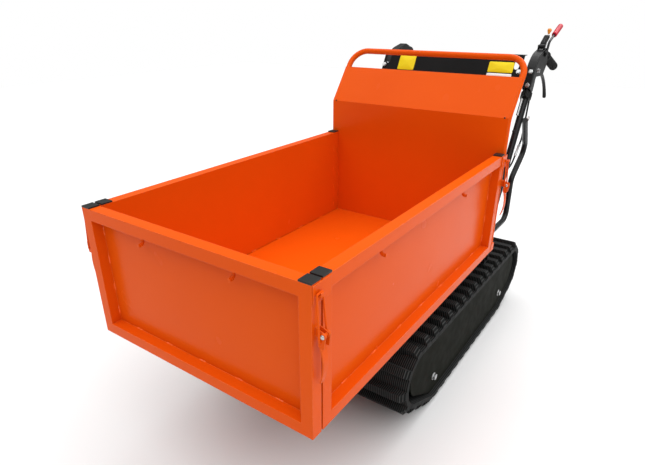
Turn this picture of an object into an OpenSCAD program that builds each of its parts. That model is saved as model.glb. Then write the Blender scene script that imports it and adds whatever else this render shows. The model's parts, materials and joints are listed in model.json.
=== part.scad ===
// Tracked power carrier: a walk-behind crawler with a tipping, drop-sided load box.
// The front faces -Y, +X is the operator's left, +Z is up and the ground is z = 0.

/* [Load box] */
// Outer width over the drop panels
box_w = 700; // [660:5:740]
// Length from the front panel's face to the rear ends of the side panels
box_l = 1104; // [1080:4:1130]
// Height of the drop panels
box_h = 360; // [330:5:400]
// Height of the panels' lower edges above the ground
box_z = 385; // [380:1:395]
// Side of the panels' square frame tube
tube = 30; // [28:1:34]
// Wall of the frame tube
tube_wall = 2; // [1.5:0.5:3]
// Thickness of the panel and headboard sheet
sheet_t = 1.5; // [1:0.25:2.5]
// Gap between the front panel and the ends of the side panels
corner_gap = 6; // [4:0.5:8]
// Rise of the load floor above the panels' lower edges
floor_rise = 30; // [28:1:34]
// Thickness of the floor plate
floor_t = 2.5; // [2:0.5:4]
// Gap round the floor plate
floor_gap = 3; // [2.5:0.5:4]
// Spread of the front panel's two tie hooks
front_hook_spread = 288; // [240:4:340]
// Place of a side panel's first tie hook behind its front end
side_hook_first = 247; // [200:1:300]
// Spread of a side panel's two tie hooks
side_hook_spread = 493; // [420:1:540]
// Thickness of a plastic post cap above its post
cap_t = 4; // [3:0.5:6]

/* [Headboard] */
// Height of the headboard's fold above the panels' lower edges
fold_h = 477; // [450:1:510]
// Backward lean of the headboard above its fold, in degrees
lean = 37; // [30:1:40]
// Slope length of the leaning sheet
lean_sheet = 150; // [130:5:160]
// Slope length from the fold to the middle of the top bar
lean_bar = 226; // [210:2:240]
// Diameter of the headboard's round tube
hoop_d = 21; // [18:1:24]
// How far the headboard's round tube stands out beyond the box on each side
hoop_over = 1; // [0:1:6]
// Bend radius of the top bar's corners
hoop_bend = 62; // [45:1:75]

/* [Corner latches] */
// Drop of the loop's seat below the panels' upper edges
seat_drop = 20; // [19:1:30]
// Distance from the lever pivot up to the loop's seat on the hook
loop_rise = 85; // [75:1:95]
// Distance of the lever pivot from the panel's face
latch_out = 18; // [16:1:22]
// Reach of the lever below its pivot
lever_reach = 112; // [90:1:125]
// Wire diameter of the loop
wire_d = 4.5; // [4:0.5:5.5]

/* [Tracks] */
// Distance from the middle of the machine to a track's outer edge
track_out = 355; // [345:1:370]
// Width of a rubber track
track_w = 180; // [170:2:184]
// Thickness of the track's band
band_t = 15; // [13:1:18]
// Height of the lugs
lug_h = 23; // [18:1:26]
// Length of a lug along the track
lug_t = 26; // [20:1:30]
// Nominal lug pitch
lug_pitch = 60; // [56:1:66]
// Radius of the idler and the sprocket under the band
wheel_r = 85; // [80:1:90]
// Radius of the road rollers
roller_r = 64; // [58:1:70]
// Width of the sprocket, the idler and the rollers
wheel_w = 46; // [40:2:52]
// Idler axle behind the front panel's face
idler_y = 545; // [530:1:560]
// Height of the idler axle
idler_z = 187; // [180:1:192]
// Front roller axle behind the front panel's face
roller_front_y = 672; // [660:1:690]
// Rear roller axle behind the box's rear end
roller_back = 236; // [216:1:246]
// Sprocket axle behind the box's rear end
sprocket_back = 354; // [346:1:366]
// Height of the sprocket axle
sprocket_z = 163; // [158:1:168]
// Thickness of the outer side plate
plate_t = 4; // [3:0.5:6]
// Depth of the outer side plate behind the track's edge
plate_recess = 10; // [6:1:14]

/* [Chassis] */
// Width of a chassis rail
rail_w = 40; // [36:1:44]
// Height of a chassis rail
rail_h = 60; // [54:1:64]
// Middle of a chassis rail from the middle of the machine
rail_x = 125; // [120:1:128]
// Height of the chassis rails' lower faces
rail_z = 245; // [243:1:248]
// Tipping axle behind the front panel's face
tip_y = 250; // [230:1:270]
// Height of the tipping axle
tip_z = 300; // [296:1:304]
// Radius of the tipping axle
tip_r = 10; // [8:0.5:12]

/* [Handles] */
// Distance of a handle from the middle of the machine
handle_x = 300; // [290:1:310]
// Length of a handle tube from the rear beam to its clamp
handle_len = 634; // [615:1:650]
// Backward lean of the handle tubes, in degrees
handle_lean = 28; // [27:1:29]
// Diameter of a handle tube
handle_d = 25; // [22:1:28]
// Diameter of a guard tube
guard_d = 22; // [18:1:24]
// Width of a handle housing
housing_w = 30; // [30:1:34]
// Radius of a handle housing's curved back
housing_r = 125; // [118:1:130]
// Wall of a handle housing
housing_wall = 2; // [1.5:0.1:2.2]
// Length of a hand grip
grip_len = 116; // [100:1:125]
// Radius of a hand grip
grip_r = 17; // [15:0.5:19]

/* [Engine] */
// Height of the crankshaft above the engine plate
crank_h = 105; // [100:1:112]
// Pitch radius of the crankshaft pulley
crank_pulley_r = 38; // [34:1:42]
// Pitch radius of the gearbox pulley
gear_pulley_r = 60; // [56:1:62]

/* [Hidden] */
$fn = 48;
// Radial clearance of a running fit
run_fit = 0.05;
// Gap between parts that pass or seat on each other
clear = 0.3;

// Colours
paint = "orangered";
black = "#1c1c1c";
rubber = "#202020";
olive = "#2b2d26";
steel = "silver";
cast = "#8a8c8e";

// Places that follow the box
hoop_w = box_w + 2 * hoop_over;
latch_z = box_h - seat_drop - loop_rise;
roller_rear_y = box_l + roller_back;
sprocket_y = box_l + sprocket_back;
engine_y = box_l + 111;

// Handle geometry
beam_y = box_l + 56;
beam_s = 40;
beam_z = rail_z + rail_h;
foot_y = beam_y + beam_s / 3;
handle_dir = [0, sin(handle_lean), cos(handle_lean)];
clamp_at = [handle_x, foot_y, beam_z + beam_s] + handle_len * handle_dir;
// Centre of the housing's curved back, from the clamp
housing_at = [clamp_at[1] + 102, clamp_at[2] + 18.4];
grip_root = [handle_x, clamp_at[1] + 185, clamp_at[2] + 121];
grip_dir = [0.17, 0.89, -0.423] / norm([0.17, 0.89, -0.423]);
grip_end = grip_root + grip_dir * (5 + grip_len);
// The model is centred between the front panel's face and the rear ends of the grips
grip_rear = grip_end[1] + grip_r * sqrt(1 - grip_dir[1] * grip_dir[1]);
mid_y = (grip_rear) / 2;
module place() {
    translate([0, -mid_y, 0]) children();
}
// Mirrored copy on the operator's right when side is -1
module on_side(side) {
    mirror([side < 0 ? 1 : 0, 0, 0]) children();
}
// Turns a drawing in (y, z) into a solid that grows along +X
module across() {
    rotate([90, 0, 90]) children();
}
// A solid of thickness t drawn in (y, z) that starts at x
module slab(x, t) {
    translate([x, 0, 0]) across() linear_extrude(t) children();
}
// A round bar along X
module rod_x(x0, x1, y, z, r) {
    translate([x0, y, z]) rotate([0, 90, 0]) cylinder(r = r, h = x1 - x0);
}
// A round bar along Y
module rod_y(x, y0, y1, z, r) {
    translate([x, y0, z]) rotate([-90, 0, 0]) cylinder(r = r, h = y1 - y0);
}
// A block between two corners
module block(a, b) {
    translate(a) cube(b - a);
}
function unit(v) = v / norm(v);
// Puts children at a with their Z axis along d
module along(a, d) {
    z = unit(d);
    x = unit(cross(abs(z[2]) < 0.9 ? [0, 0, 1] : [1, 0, 0], z));
    y = cross(z, x);
    multmatrix([[x[0], y[0], z[0], a[0]], [x[1], y[1], z[1], a[1]], [x[2], y[2], z[2], a[2]], [0, 0, 0, 1]])
        children();
}
function bend_angle(p, i) = acos(unit(p[i] - p[i - 1]) * unit(p[i + 1] - p[i]));
function bend_trim(p, i, bend) = (i == 0 || i == len(p) - 1) ? 0 : bend * tan(bend_angle(p, i) / 2);
// Length that a straight run reaches into a bend, and how much thinner the bend is there
function reach_in(bend) = min(1, bend / 12);
bend_inset = 0.05;
// A round tube along the points p, with bends of one radius
module pipe(p, r, bend, grow = -bend_inset) {
    for (i = [0:len(p) - 2]) {
        d = unit(p[i + 1] - p[i]);
        s = i == 0 ? 0 : bend_trim(p, i, bend) - reach_in(bend);
        e = i == len(p) - 2 ? 0 : bend_trim(p, i + 1, bend) - reach_in(bend);
        along(p[i] + d * s, d) cylinder(r = r, h = norm(p[i + 1] - p[i]) - s - e);
    }
    for (i = [1:1:len(p) - 2]) {
        u = unit(p[i] - p[i - 1]);
        v = unit(p[i + 1] - p[i]);
        w = unit(v - (v * u) * u);
        c = p[i] - u * bend_trim(p, i, bend) + w * bend;
        n = cross(-w, u);
        multmatrix([[-w[0], u[0], n[0], c[0]], [-w[1], u[1], n[1], c[1]], [-w[2], u[2], n[2], c[2]], [0,
            0, 0, 1]])
            rotate_extrude(angle = bend_angle(p, i)) translate([bend, 0]) circle(r = r + grow);
    }
}

// Load box
// Half width to a side panel's inner face, and the panel hinge's place
inner_x = box_w / 2 - tube;
hinge_in = tube / 2 + 1;
hinge_r = 6;
hinge_z = box_z - hinge_r - 0.5;
hinge_pin_r = 4;
knuckle = 50;
side_start = tube + corner_gap;
side_len = box_l - side_start;
floor_z = box_z + floor_rise;
head_y = box_l + 2;
bed_rail_h = 50;
bed_rail_z = box_z - bed_rail_h;
front_hinges = [-220, 220];
side_hinges = [170, side_len / 2, side_len - 170];
cap_plug = 12;
hook_r = 4;

// Square tube from z = 0 upwards in the corner of x = 0, y = 0
module square_bar(l) {
    cube([tube, tube, l]);
}
module square_hollow(l) {
    translate([tube_wall, tube_wall, 0]) cube([tube - 2 * tube_wall, tube - 2 * tube_wall, l]);
}
// J-shaped tie hook under the top rail
module tie_hook(x) {
    drop = 16;
    top = box_h - tube + 1;
    pipe([[x, tube / 2, top], [x, tube / 2, top - drop - 8], [x, tube / 2 - 14, top - drop - 8]], hook_r, 8,
        0.4);
}
// Half hinge on the panel: a barrel under the lower rail
module panel_knuckle(x) {
    z = hinge_z - box_z;
    translate([x - knuckle / 2, hinge_in, z]) rotate([0, 90, 0]) cylinder(r = hinge_r, h = knuckle);
    block([x - knuckle / 2, hinge_in - hinge_r + 1, z], [x + knuckle / 2, hinge_in + hinge_r - 1, 0.5]);
}
// Drop panel in its own frame: length along X, outer face at y = 0, lower edge at z = 0
module panel(l, hooks, hinges) {
    difference() {
        union() {
            square_bar(box_h);
            translate([l - tube, 0, 0]) square_bar(box_h);
            for (z = [0, box_h - tube]) block([tube, 0, z], [l - tube, tube, z + tube]);
            block([tube - 1, tube - sheet_t, tube - 1], [l - tube + 1, tube, box_h - tube + 1]);
            for (x = hooks) tie_hook(x);
            for (x = hinges) panel_knuckle(x);
        }
        for (x = [0, l - tube]) translate([x, 0, 0]) square_hollow(box_h);
        for (z = [0, box_h - tube])
            block([tube - tube_wall - 1, tube_wall, z + tube_wall],
                [l - tube + tube_wall + 1, tube - tube_wall, z + tube - tube_wall]);
        for (x = hinges)
            translate([x - knuckle, hinge_in, hinge_z - box_z]) rotate([0, 90, 0])
                cylinder(r = hinge_pin_r + run_fit, h = 2 * knuckle);
    }
}
// Plastic caps that plug the posts of a panel of length l
module post_caps(l) {
    gap = tube_wall + clear;
    for (x = [0, l - tube]) translate([x, 0, box_h]) {
        cube([tube, tube, cap_t]);
        translate([gap, gap, -cap_plug]) cube([tube - 2 * gap, tube - 2 * gap, cap_plug + 1]);
    }
}
// The front panel's frame, and a side panel's frame on the operator's left
module at_front() {
    translate([-box_w / 2, 0, box_z]) children();
}
module at_left() {
    translate([box_w / 2, side_start, box_z]) rotate([0, 0, 90]) children();
}

// Corner latches: across the corner is y, out from the face is x, the lever pivot is the origin
latch_wide = 12;
ear_y = 4.5;
ear_t = 2;
arm_y = 7;
arm_t = 2.5;
latch_pin_r = 3;
eye_r = 7;
loop_pin = [-4, -14];
seat_out = 6.5 - latch_out;
wire_r = wire_d / 2;
hook_t = 2;
tongue = 5;
front_latch_y = tube / 2 + 2;
rear_latch_y = head_y + hoop_d / 2 + 4;
module at_latch(rear) {
    translate([(rear ? hoop_w : box_w) / 2 + latch_out, rear ? rear_latch_y : front_latch_y,
        box_z + latch_z])
        children();
}
// Ears and pin that carry a lever, on a base that starts at x = base
module latch_bracket(base) {
    for (s = [-1, 1]) translate([0, s * (ear_y + ear_t / 2) + ear_t / 2, 0]) rotate([90, 0, 0])
        linear_extrude(ear_t) polygon([[base, -6], [0, -eye_r], [5, -5], [eye_r, 0], [5, 5], [0, eye_r],
            [base, 14]]);
    block([base, -ear_y - ear_t, -6], [base + hook_t, ear_y + ear_t, 14]);
    rod_y(0, -arm_y - arm_t - 0.5, arm_y + arm_t + 0.5, 0, latch_pin_r);
}
// Hook plate on the side panel's post: a tongue with an upturned lip takes the loop
module hook_plate(from, to) {
    z = loop_rise;
    block([clear - latch_out, from, z - 22], [clear - latch_out + hook_t, to, z + 18]);
    block([clear - latch_out, -tongue, z - wire_r - 3.5], [seat_out + 7, tongue, z - wire_r - 1]);
    block([seat_out + 5, -tongue, z - wire_r - 3.5], [seat_out + 7, tongue, z + 3]);
}
// Over-centre lever: two arms on the pin and a bowed, tapering handle
module latch_lever() {
    bow_r = 140;
    mid = lever_reach * 0.58;
    difference() {
        union() {
            for (s = [-1, 1]) translate([0, s * (arm_y + arm_t / 2) + arm_t / 2, 0]) rotate([90, 0, 0]) {
                cylinder(r = eye_r, h = arm_t);
                linear_extrude(arm_t) polygon([[-eye_r, 0], [eye_r, 0], [4, -26], [-9, -26], [-9, -12]]);
            }
            intersection() {
                translate([2 - bow_r, arm_y + arm_t, -mid]) rotate([90, 0, 0]) difference() {
                    cylinder(r = bow_r, h = 2 * (arm_y + arm_t), $fn = 120);
                    translate([0, 0, -1]) cylinder(r = bow_r - 3, h = 2 * (arm_y + arm_t) + 2, $fn = 120);
                }
                translate([-latch_out, 0, 0]) rotate([90, 0, 90]) linear_extrude(3 * latch_out)
                    polygon([[-arm_y - arm_t, -18], [arm_y + arm_t, -18], [6, -lever_reach], [-6,
                        -lever_reach]]);
            }
        }
        rod_y(0, -latch_wide, latch_wide, 0, latch_pin_r + run_fit);
        rod_y(loop_pin[0], -latch_wide, latch_wide, loop_pin[1], wire_r + run_fit);
    }
}
// Wire loop from the lever's arms up over the hook
module latch_loop() {
    top = [seat_out, loop_rise];
    narrow = tongue + wire_d;
    in = arm_y + clear;
    pipe([[loop_pin[0], -in, loop_pin[1]], [loop_pin[0], -latch_wide - 1, loop_pin[1]],
        [top[0], -narrow, top[1]], [top[0], narrow, top[1]],
        [loop_pin[0], latch_wide + 1, loop_pin[1]], [loop_pin[0], in, loop_pin[1]]], wire_r, wire_d * 0.8);
}

// Tracks: wheels as [y, z, radius], in the order that the band runs round them
roller_z = lug_h + band_t + roller_r;
wheels = [[idler_y, idler_z, wheel_r], [roller_front_y, roller_z, roller_r],
    [roller_rear_y, roller_z, roller_r], [sprocket_y, sprocket_z, wheel_r]];
track_mid = track_out - track_w / 2;
inner_plate_t = 5;
inner_plate_x = track_out - track_w + 12;
plate_x = track_out - plate_recess - plate_t;
plate_gap = 7;
plate_pull = 25;
axle_r = 10;
groove_w = 30;
groove_h = 6;
band_gap = 0.5;
// The side plates end short of the band at the front and the rear
plate_wheels = [wheels[0] + [plate_pull, 0, 0], wheels[1], wheels[2], wheels[3] - [plate_pull, 0, 0]];
function after(p, k) = p[(k + 1) % len(p)];
function before(p, k) = (k + len(p) - 1) % len(p);
function step_of(p, k) = [after(p, k)[0] - p[k][0], after(p, k)[1] - p[k][1]];
// Direction of the outward normal on the straight run after wheel k
function run_normal(p, k) = let (d = step_of(p, k))
    atan2(d[1], d[0]) - acos((p[k][2] - after(p, k)[2]) / norm(d));
function run_length(p, k) = let (d = step_of(p, k), r = p[k][2] - after(p, k)[2]) sqrt(d * d - r * r);
function wrap(p, k) = let (a = run_normal(p, k) - run_normal(p, before(p, k))) a < 0 ? a + 360 : a;
function rim(p, k, a, e) = [p[k][0] + (p[k][2] + e) * cos(a), p[k][1] + (p[k][2] + e) * sin(a)];
function arc_length(p, k, e) = (p[k][2] + e) * wrap(p, k) * PI / 180;
function lap(p, e, k = 0) = k == len(p) ? 0 : arc_length(p, k, e) + run_length(p, k) + lap(p, e, k + 1);
// Place on the band's inner face at the length s along its middle, as [y, z, normal]
function spot(p, s, e, k = 0) =
    let (a = run_normal(p, before(p, k)) + s / (p[k][2] + e) * 180 / PI, b = run_normal(p, k),
        t = s - arc_length(p, k, e))
    t < 0 ? concat(rim(p, k, a, 0), [a])
    : t < run_length(p, k) ? concat(rim(p, k, b, 0) + t * [-sin(b), cos(b)], [b])
    : spot(p, t - run_length(p, k), e, k + 1);
// Flat plate with the outline of a band stretched round the wheels p, grown by e
module loop_plate(p, e, t) {
    linear_extrude(t) polygon([for (k = [0:len(p) - 1]) let (n = ceil(wrap(p, k) / 4))
        for (i = [0:n]) rim(p, k, run_normal(p, before(p, k)) + wrap(p, k) * i / n, e)]);
}
// Cross-section of the band: x is the height above the inner face, y runs across the track
module band_section(i) {
    g = (track_w - groove_w) / 2 - i;
    t = band_t - i;
    w = track_w - i;
    polygon([[i, i], [t, i], [t, w], [i, w], [i, track_w - g], [groove_h + i, track_w - g], [groove_h + i,
        g], [i, g]]);
}
module band() {
    for (k = [0:len(wheels) - 1]) {
        a = run_normal(wheels, before(wheels, k));
        translate([wheels[k][0], wheels[k][1], 0]) rotate([0, 0, a])
            rotate_extrude(angle = wrap(wheels, k)) translate([wheels[k][2], 0]) band_section(bend_inset);
        b = run_normal(wheels, k);
        start = rim(wheels, k, b, 0);
        translate([start[0], start[1], 0]) rotate([0, 0, b]) translate([0, -1, 0]) rotate([-90, 0, 0])
            mirror([0, 1, 0]) linear_extrude(run_length(wheels, k) + 2) band_section(0);
    }
}
lug_slope = 12;
lug_root = 2;
lugs = round(lap(wheels, band_t / 2) / lug_pitch);
module lug() {
    rotate([90, 0, 0]) linear_extrude(lug_t, center = true)
        polygon([[0, band_t - lug_root], [track_w, band_t - lug_root], [track_w, band_t + 5],
            [track_w - lug_slope, band_t + lug_h], [lug_slope, band_t + lug_h], [0, band_t + 5]]);
}
module rubber_track(side) {
    color(rubber) place() on_side(side) translate([track_out - track_w, 0, 0]) {
        across() band();
        for (i = [0:lugs - 1]) {
            s = spot(wheels, (i + 0.5) * lap(wheels, band_t / 2) / lugs, band_t / 2);
            translate([0, s[0], s[1]]) rotate([s[2] - 90, 0, 0]) lug();
        }
    }
}
// Wheel turned from the half section [x along the axle, radius]
module turned(y, z, points) {
    translate([track_mid, y, z]) rotate([0, 90, 0]) rotate_extrude() polygon([for (q = points) [q[1],
        q[0]]]);
}
module idler(side) {
    h = wheel_w / 2;
    r = wheel_r - band_gap;
    b = axle_r + run_fit;
    color(cast) place() on_side(side) turned(idler_y, idler_z, [[-h, b], [h, b], [h, 28], [8, 32], [8,
        r - 22],
        [h, r - 16], [h, r], [-h, r], [-h, r - 16], [-8, r - 22], [-8, 32], [-h, 28]]);
}
module roller(side, y) {
    h = wheel_w / 2;
    w = h + 33;
    r = roller_r - band_gap;
    b = axle_r + run_fit;
    color(cast) place() on_side(side) turned(y, roller_z, [[-w - 2, b], [w + 2, b], [w + 2, 22], [w, 26],
        [w, r], [h + 5, r], [h + 5, 30], [-h - 5, 30], [-h - 5, r], [-w, r], [-w, 26], [-w - 2, 22]]);
}
sprocket_teeth = round(2 * PI * (wheel_r + band_t / 2) / lug_pitch);
shaft_r = 15;
gearbox_x = 95;
axle_tube_end = 140;
module sprocket(side) {
    h = wheel_w / 2;
    r = wheel_r - band_gap;
    tip = wheel_r + groove_h - 2;
    color(cast) place() on_side(side) {
        turned(sprocket_y, sprocket_z, [[-h, shaft_r - 1], [h, shaft_r - 1], [h, 30], [9, 34], [9,
            r - 30], [h, r - 20],
            [h, r], [groove_w / 2 + 1, r], [groove_w / 2 + 1, r - 14], [-groove_w / 2 - 1, r - 14],
            [-groove_w / 2 - 1, r], [-h, r], [-h, r - 20], [-9, r - 30], [-9, 34], [-h, 30]]);
        for (i = [0:sprocket_teeth - 1]) translate([track_mid, sprocket_y, sprocket_z])
            rotate([i * 360 / sprocket_teeth, 0, 0]) slab(-groove_w / 2 + 3, groove_w - 6)
                polygon([[-16, r - 18], [16, r - 18], [6, tip], [-6, tip]]);
        rod_x(gearbox_x - 30, track_mid + h + 8, sprocket_y, sprocket_z, shaft_r);
    }
}

// Track frames: inner plate, beam and roller axles
beam_low = 185;
beam_top = 232;
beam_front = 800;
beam_rear = roller_rear_y - 20;
tension_y = 770;
rod_r = 8;
bolt_r = 6;
bolt_deep = 20;
module track_frame(side) {
    arm_end = track_mid + wheel_w / 2 + 12;
    color(olive) place() on_side(side) difference() {
        union() {
            translate([inner_plate_x, 0, 0]) across() loop_plate(plate_wheels, -plate_gap, inner_plate_t);
            block([inner_plate_x + 2, beam_front, beam_low], [arm_end, beam_rear, beam_top]);
            block([inner_plate_x + 2, tension_y, beam_low - 12], [arm_end, beam_front + 1, beam_top]);
            block([arm_end - 1, 1020, beam_low], [plate_x, 1080, beam_top]);
            for (y = [roller_front_y, roller_rear_y]) rod_x(inner_plate_x + 1, plate_x, y, roller_z,
                axle_r);
        }
        rod_x(inner_plate_x - 1, inner_plate_x + inner_plate_t + 1, sprocket_y, sprocket_z, shaft_r + 7);
        rod_x(inner_plate_x - 1, inner_plate_x + inner_plate_t + 1, idler_y, idler_z, 30);
        rod_y(track_mid, tension_y - 1, beam_front + 60, idler_z, rod_r + clear);
        block([inner_plate_x + inner_plate_t + 4, beam_front + 10, beam_low + 4], [arm_end - 4,
            beam_rear + 1, beam_top - 4]);
        for (y = [roller_front_y, roller_rear_y])
            rod_x(plate_x - bolt_deep, plate_x + 1, y, roller_z, bolt_r + run_fit);
    }
}
// Idler forks, each with its axle and threaded pull rod
module track_tensioners() {
    in = wheel_w / 2 + 3;
    out = in + 8;
    yoke = roller_front_y + 20;
    color(steel) place() for (side = [1, -1]) on_side(side) {
        for (s = [-1, 1]) block([track_mid + (s < 0 ? -out : in), idler_y - 18, idler_z - 14],
            [track_mid + (s < 0 ? -in : out), yoke + 1, idler_z + 16]);
        block([track_mid - out, yoke, idler_z - 14], [track_mid + out, yoke + 12, idler_z + 16]);
        rod_x(track_mid - out - 4, track_mid + out + 4, idler_y, idler_z, axle_r);
        rod_y(track_mid, yoke + 11, beam_front + 55, idler_z, rod_r);
        translate([track_mid, tension_y - 12, idler_z]) rotate([-90, 0, 0]) cylinder(r = 15, h = 12,
            $fn = 6);
    }
}
module side_plate(side) {
    color(olive) place() on_side(side) difference() {
        translate([plate_x, 0, 0]) across() loop_plate(plate_wheels, -plate_gap, plate_t);
        for (y = [roller_front_y, roller_rear_y]) rod_x(plate_x - 1, track_out, y, roller_z,
            bolt_r + clear);
    }
}
// Hexagon bolt with a washer, pointing along +Z into its seat at z = 0
module hex_bolt(r, deep) {
    translate([0, 0, -2]) cylinder(r = 2.1 * r, h = 2);
    translate([0, 0, -2 - 1.3 * r]) cylinder(r = 1.75 * r, h = 1.3 * r + 0.5, $fn = 6);
    translate([0, 0, -1]) cylinder(r = r, h = deep + 1);
}
module hex_bolts() {
    color(steel) place() for (side = [1, -1]) on_side(side) {
        for (y = [roller_front_y, roller_rear_y]) translate([plate_x + plate_t, y, roller_z])
            rotate([0, -90, 0]) hex_bolt(bolt_r, plate_t + bolt_deep - 2);
        for (q = housing_bolts) along([handle_x + 3, on_back(housing_r + 0.05, q[0], -q[1])[0],
            on_back(housing_r + 0.05, q[0], -q[1])[1]],
            [0, cos(q[0]), -sin(q[0])]) hex_bolt(bolt_small, 6);
        for (q = side_bolts) translate([handle_x + housing_w / 2, clamp_at[1] + q[0], clamp_at[2] + q[1]])
            rotate([0, -90, 0]) hex_bolt(bolt_small, 6);
        along([console_bolt_x, console_bolt[0], console_bolt[1]], [0, cos(handle_lean),
            -sin(handle_lean)]) hex_bolt(bolt_small, 6);
    }
}
bolt_small = 4;
// Bolts on the curved back as angle and distance below it, and on the side as places from the clamp
housing_bolts = [[27, 0], [18, 30]];
side_bolts = [[46, 76]];

// Chassis: rails, cross tubes, tipping ears, bed rests, engine plate and rear beam
rail_front = tip_y + 35;
rail_rear = sprocket_y + 72;
cross_s = 46;
cross_front = 830;
cross_rear = box_l + 26;
ear_r = 22;
engine_plate_t = 6;
engine_z = rail_z + rail_h + engine_plate_t;
rest_y = box_l - 124;
latch_pin_z = bed_rail_z - 14;
module box_tube_y(x, y0, y1, z, w, h, wall) {
    difference() {
        block([x - w / 2, y0, z], [x + w / 2, y1, z + h]);
        block([x - w / 2 + wall, y0 - 1, z + wall], [x + w / 2 - wall, y1 + 1, z + h - wall]);
    }
}
module chassis_frame() {
    reach = inner_plate_x;
    color(black) place() {
        for (s = [-1, 1]) {
            box_tube_y(s * rail_x, rail_front, rail_rear, rail_z, rail_w, rail_h, 3);
            difference() {
                union() {
                    block([s * rail_x - 5, tip_y, tip_z - ear_r], [s * rail_x + 5, rail_front + 30, tip_z]);
                    block([s * rail_x - rail_w / 2, rail_front - 4, rail_z],
                        [s * rail_x + rail_w / 2, rail_front + 1, rail_z + rail_h]);
                    rod_x(s * rail_x - 5, s * rail_x + 5, tip_y, tip_z, ear_r);
                }
                rod_x(s * rail_x - 6, s * rail_x + 6, tip_y, tip_z, tip_r + run_fit);
            }
            block([s * rail_x - rail_w / 2, rest_y, rail_z + rail_h],
                [s * rail_x + rail_w / 2, rest_y + 60, bed_rail_z - clear]);
        }
        for (y = [cross_front, cross_rear]) difference() {
            block([-reach, y, rail_z - cross_s], [reach, y + cross_s, rail_z]);
            block([-reach - 1, y + 4, rail_z - cross_s + 4], [reach + 1, y + cross_s - 4, rail_z - 4]);
        }
        block([-rail_x, rail_front + 40, rail_z + 8], [rail_x, rail_front + 80, rail_z + rail_h - 8]);
        block([-rail_x - rail_w / 2, engine_y, rail_z + rail_h], [rail_x + rail_w / 2, rail_rear - 20,
            engine_z]);
        for (s = [-1, 1]) block([s * 60 - 4, latch_axle[0] - 12, rail_z - 10], [s * 60 + 4,
            cross_rear + 20, latch_pin_z - 10]);
        rod_x(-61, 61, latch_axle[0], latch_axle[1], 5);
    }
}

// Tip latch: a hook on the rear of the chassis that holds a bar under the bed
latch_axle = [box_l - 14, latch_pin_z - 22];
module tip_latch() {
    color(paint) place() difference() {
        union() {
            slab(-8, 16) polygon([[latch_axle[0] - 12, latch_axle[1] - 8], [latch_axle[0] + 10,
                latch_axle[1] - 8],
                [latch_axle[0] + 10, latch_axle[1] + 50], [latch_axle[0] - 44, latch_axle[1] + 50],
                [latch_axle[0] - 44, latch_axle[1] + 36], [latch_axle[0] - 12, latch_axle[1] + 36]]);
            rod_x(-55, 55, latch_axle[0], latch_axle[1], 9);
        }
        rod_x(-57, 57, latch_axle[0], latch_axle[1], 5 + run_fit);
    }
}

// Bed: floor plate with lips, ribs, rails, tipping lugs and hinge knuckles
module floor_knuckles(l, hinges) {
    z = hinge_z - box_z;
    leaf = 60;
    for (x = hinges, s = [-1, 1]) {
        from = x + s * (knuckle / 2 + clear) - (s < 0 ? 28 : 0);
        translate([from, hinge_in, z]) rotate([0, 90, 0]) cylinder(r = hinge_r, h = 28);
        block([from, hinge_in, z - hinge_r + 0.6], [from + 28, leaf, z - 1]);
        block([from, tube + floor_gap + 1, z - hinge_r + 0.6], [from + 28, leaf, 1]);
    }
}
module bed_floor() {
    x = inner_x - floor_gap;
    y0 = tube + floor_gap;
    y1 = head_y + tube;
    lip = floor_z - box_z;
    color(paint) place() difference() {
        union() {
            block([-x, y0, floor_z - floor_t], [x, head_y - 2, floor_z]);
            for (s = [-1, 1]) block([s * x - (s > 0 ? 3 : 0), y0, box_z], [s * x + (s < 0 ? 3 : 0),
                head_y - 1, floor_z - 1]);
            block([-x, y0, box_z], [x, y0 + 3, floor_z - 1]);
            for (y = [300, 560, 820]) {
                block([-x, y, box_z], [x, y + 4, floor_z - 1]);
                block([-x, y, box_z], [x, y + 36, box_z + 4]);
            }
            block([-hoop_w / 2, head_y - 1.5, box_z], [hoop_w / 2, y1, floor_z - floor_t]);
            block([-x, head_y - 14, box_z], [x, head_y - 1, floor_z - 1]);
            for (s = [-1, 1]) {
                box_tube_y(s * rail_x, y0 + 30, head_y - 1, bed_rail_z, rail_w, floor_z - 1 - bed_rail_z,
                    3);
                block([s * rail_x - (s > 0 ? 18 : -8), tip_y - ear_r, tip_z], [s * rail_x - (s > 0 ? 8
                    : -18), tip_y + ear_r, floor_z - 1]);
                rod_x(s * rail_x - (s > 0 ? 18 : -8), s * rail_x - (s > 0 ? 8 : -18), tip_y, tip_z, ear_r);
            }
            rod_x(-rail_x, rail_x, latch_axle[0] - 30, latch_pin_z, 8);
            for (s = [-1, 1]) block([s * rail_x - 8, latch_axle[0] - 42, latch_pin_z - 12],
                [s * rail_x + 8, head_y - 1, bed_rail_z + 2]);
            at_front() floor_knuckles(box_w, [for (h = front_hinges) box_w / 2 + h]);
            for (side = [1, -1]) on_side(side) at_left() floor_knuckles(side_len, side_hinges);
        }
        rod_x(-rail_x - rail_w, rail_x + rail_w, tip_y, tip_z, tip_r + run_fit);
        for (h = front_hinges) rod_x(h - 2 * knuckle, h + 2 * knuckle, hinge_in, hinge_z,
            hinge_pin_r + run_fit);
        for (side = [1, -1], h = side_hinges)
            rod_y(side * (box_w / 2 - hinge_in), side_start + h - 2 * knuckle, side_start + h + 2 * knuckle,
                hinge_z, hinge_pin_r + run_fit);
    }
}
// Pins of the panel hinges and the tipping axle
module hinge_pins() {
    half = knuckle / 2 + 30;
    color(steel) place() {
        for (h = front_hinges) rod_x(h - half, h + half, hinge_in, hinge_z, hinge_pin_r);
        for (side = [1, -1], h = side_hinges)
            rod_y(side * (box_w / 2 - hinge_in), side_start + h - half, side_start + h + half, hinge_z,
                hinge_pin_r);
        rod_x(-rail_x - 14, rail_x + 14, tip_y, tip_z, tip_r);
    }
}
head_t = 1.7;
head_front = head_y - head_t - 0.1;
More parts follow.
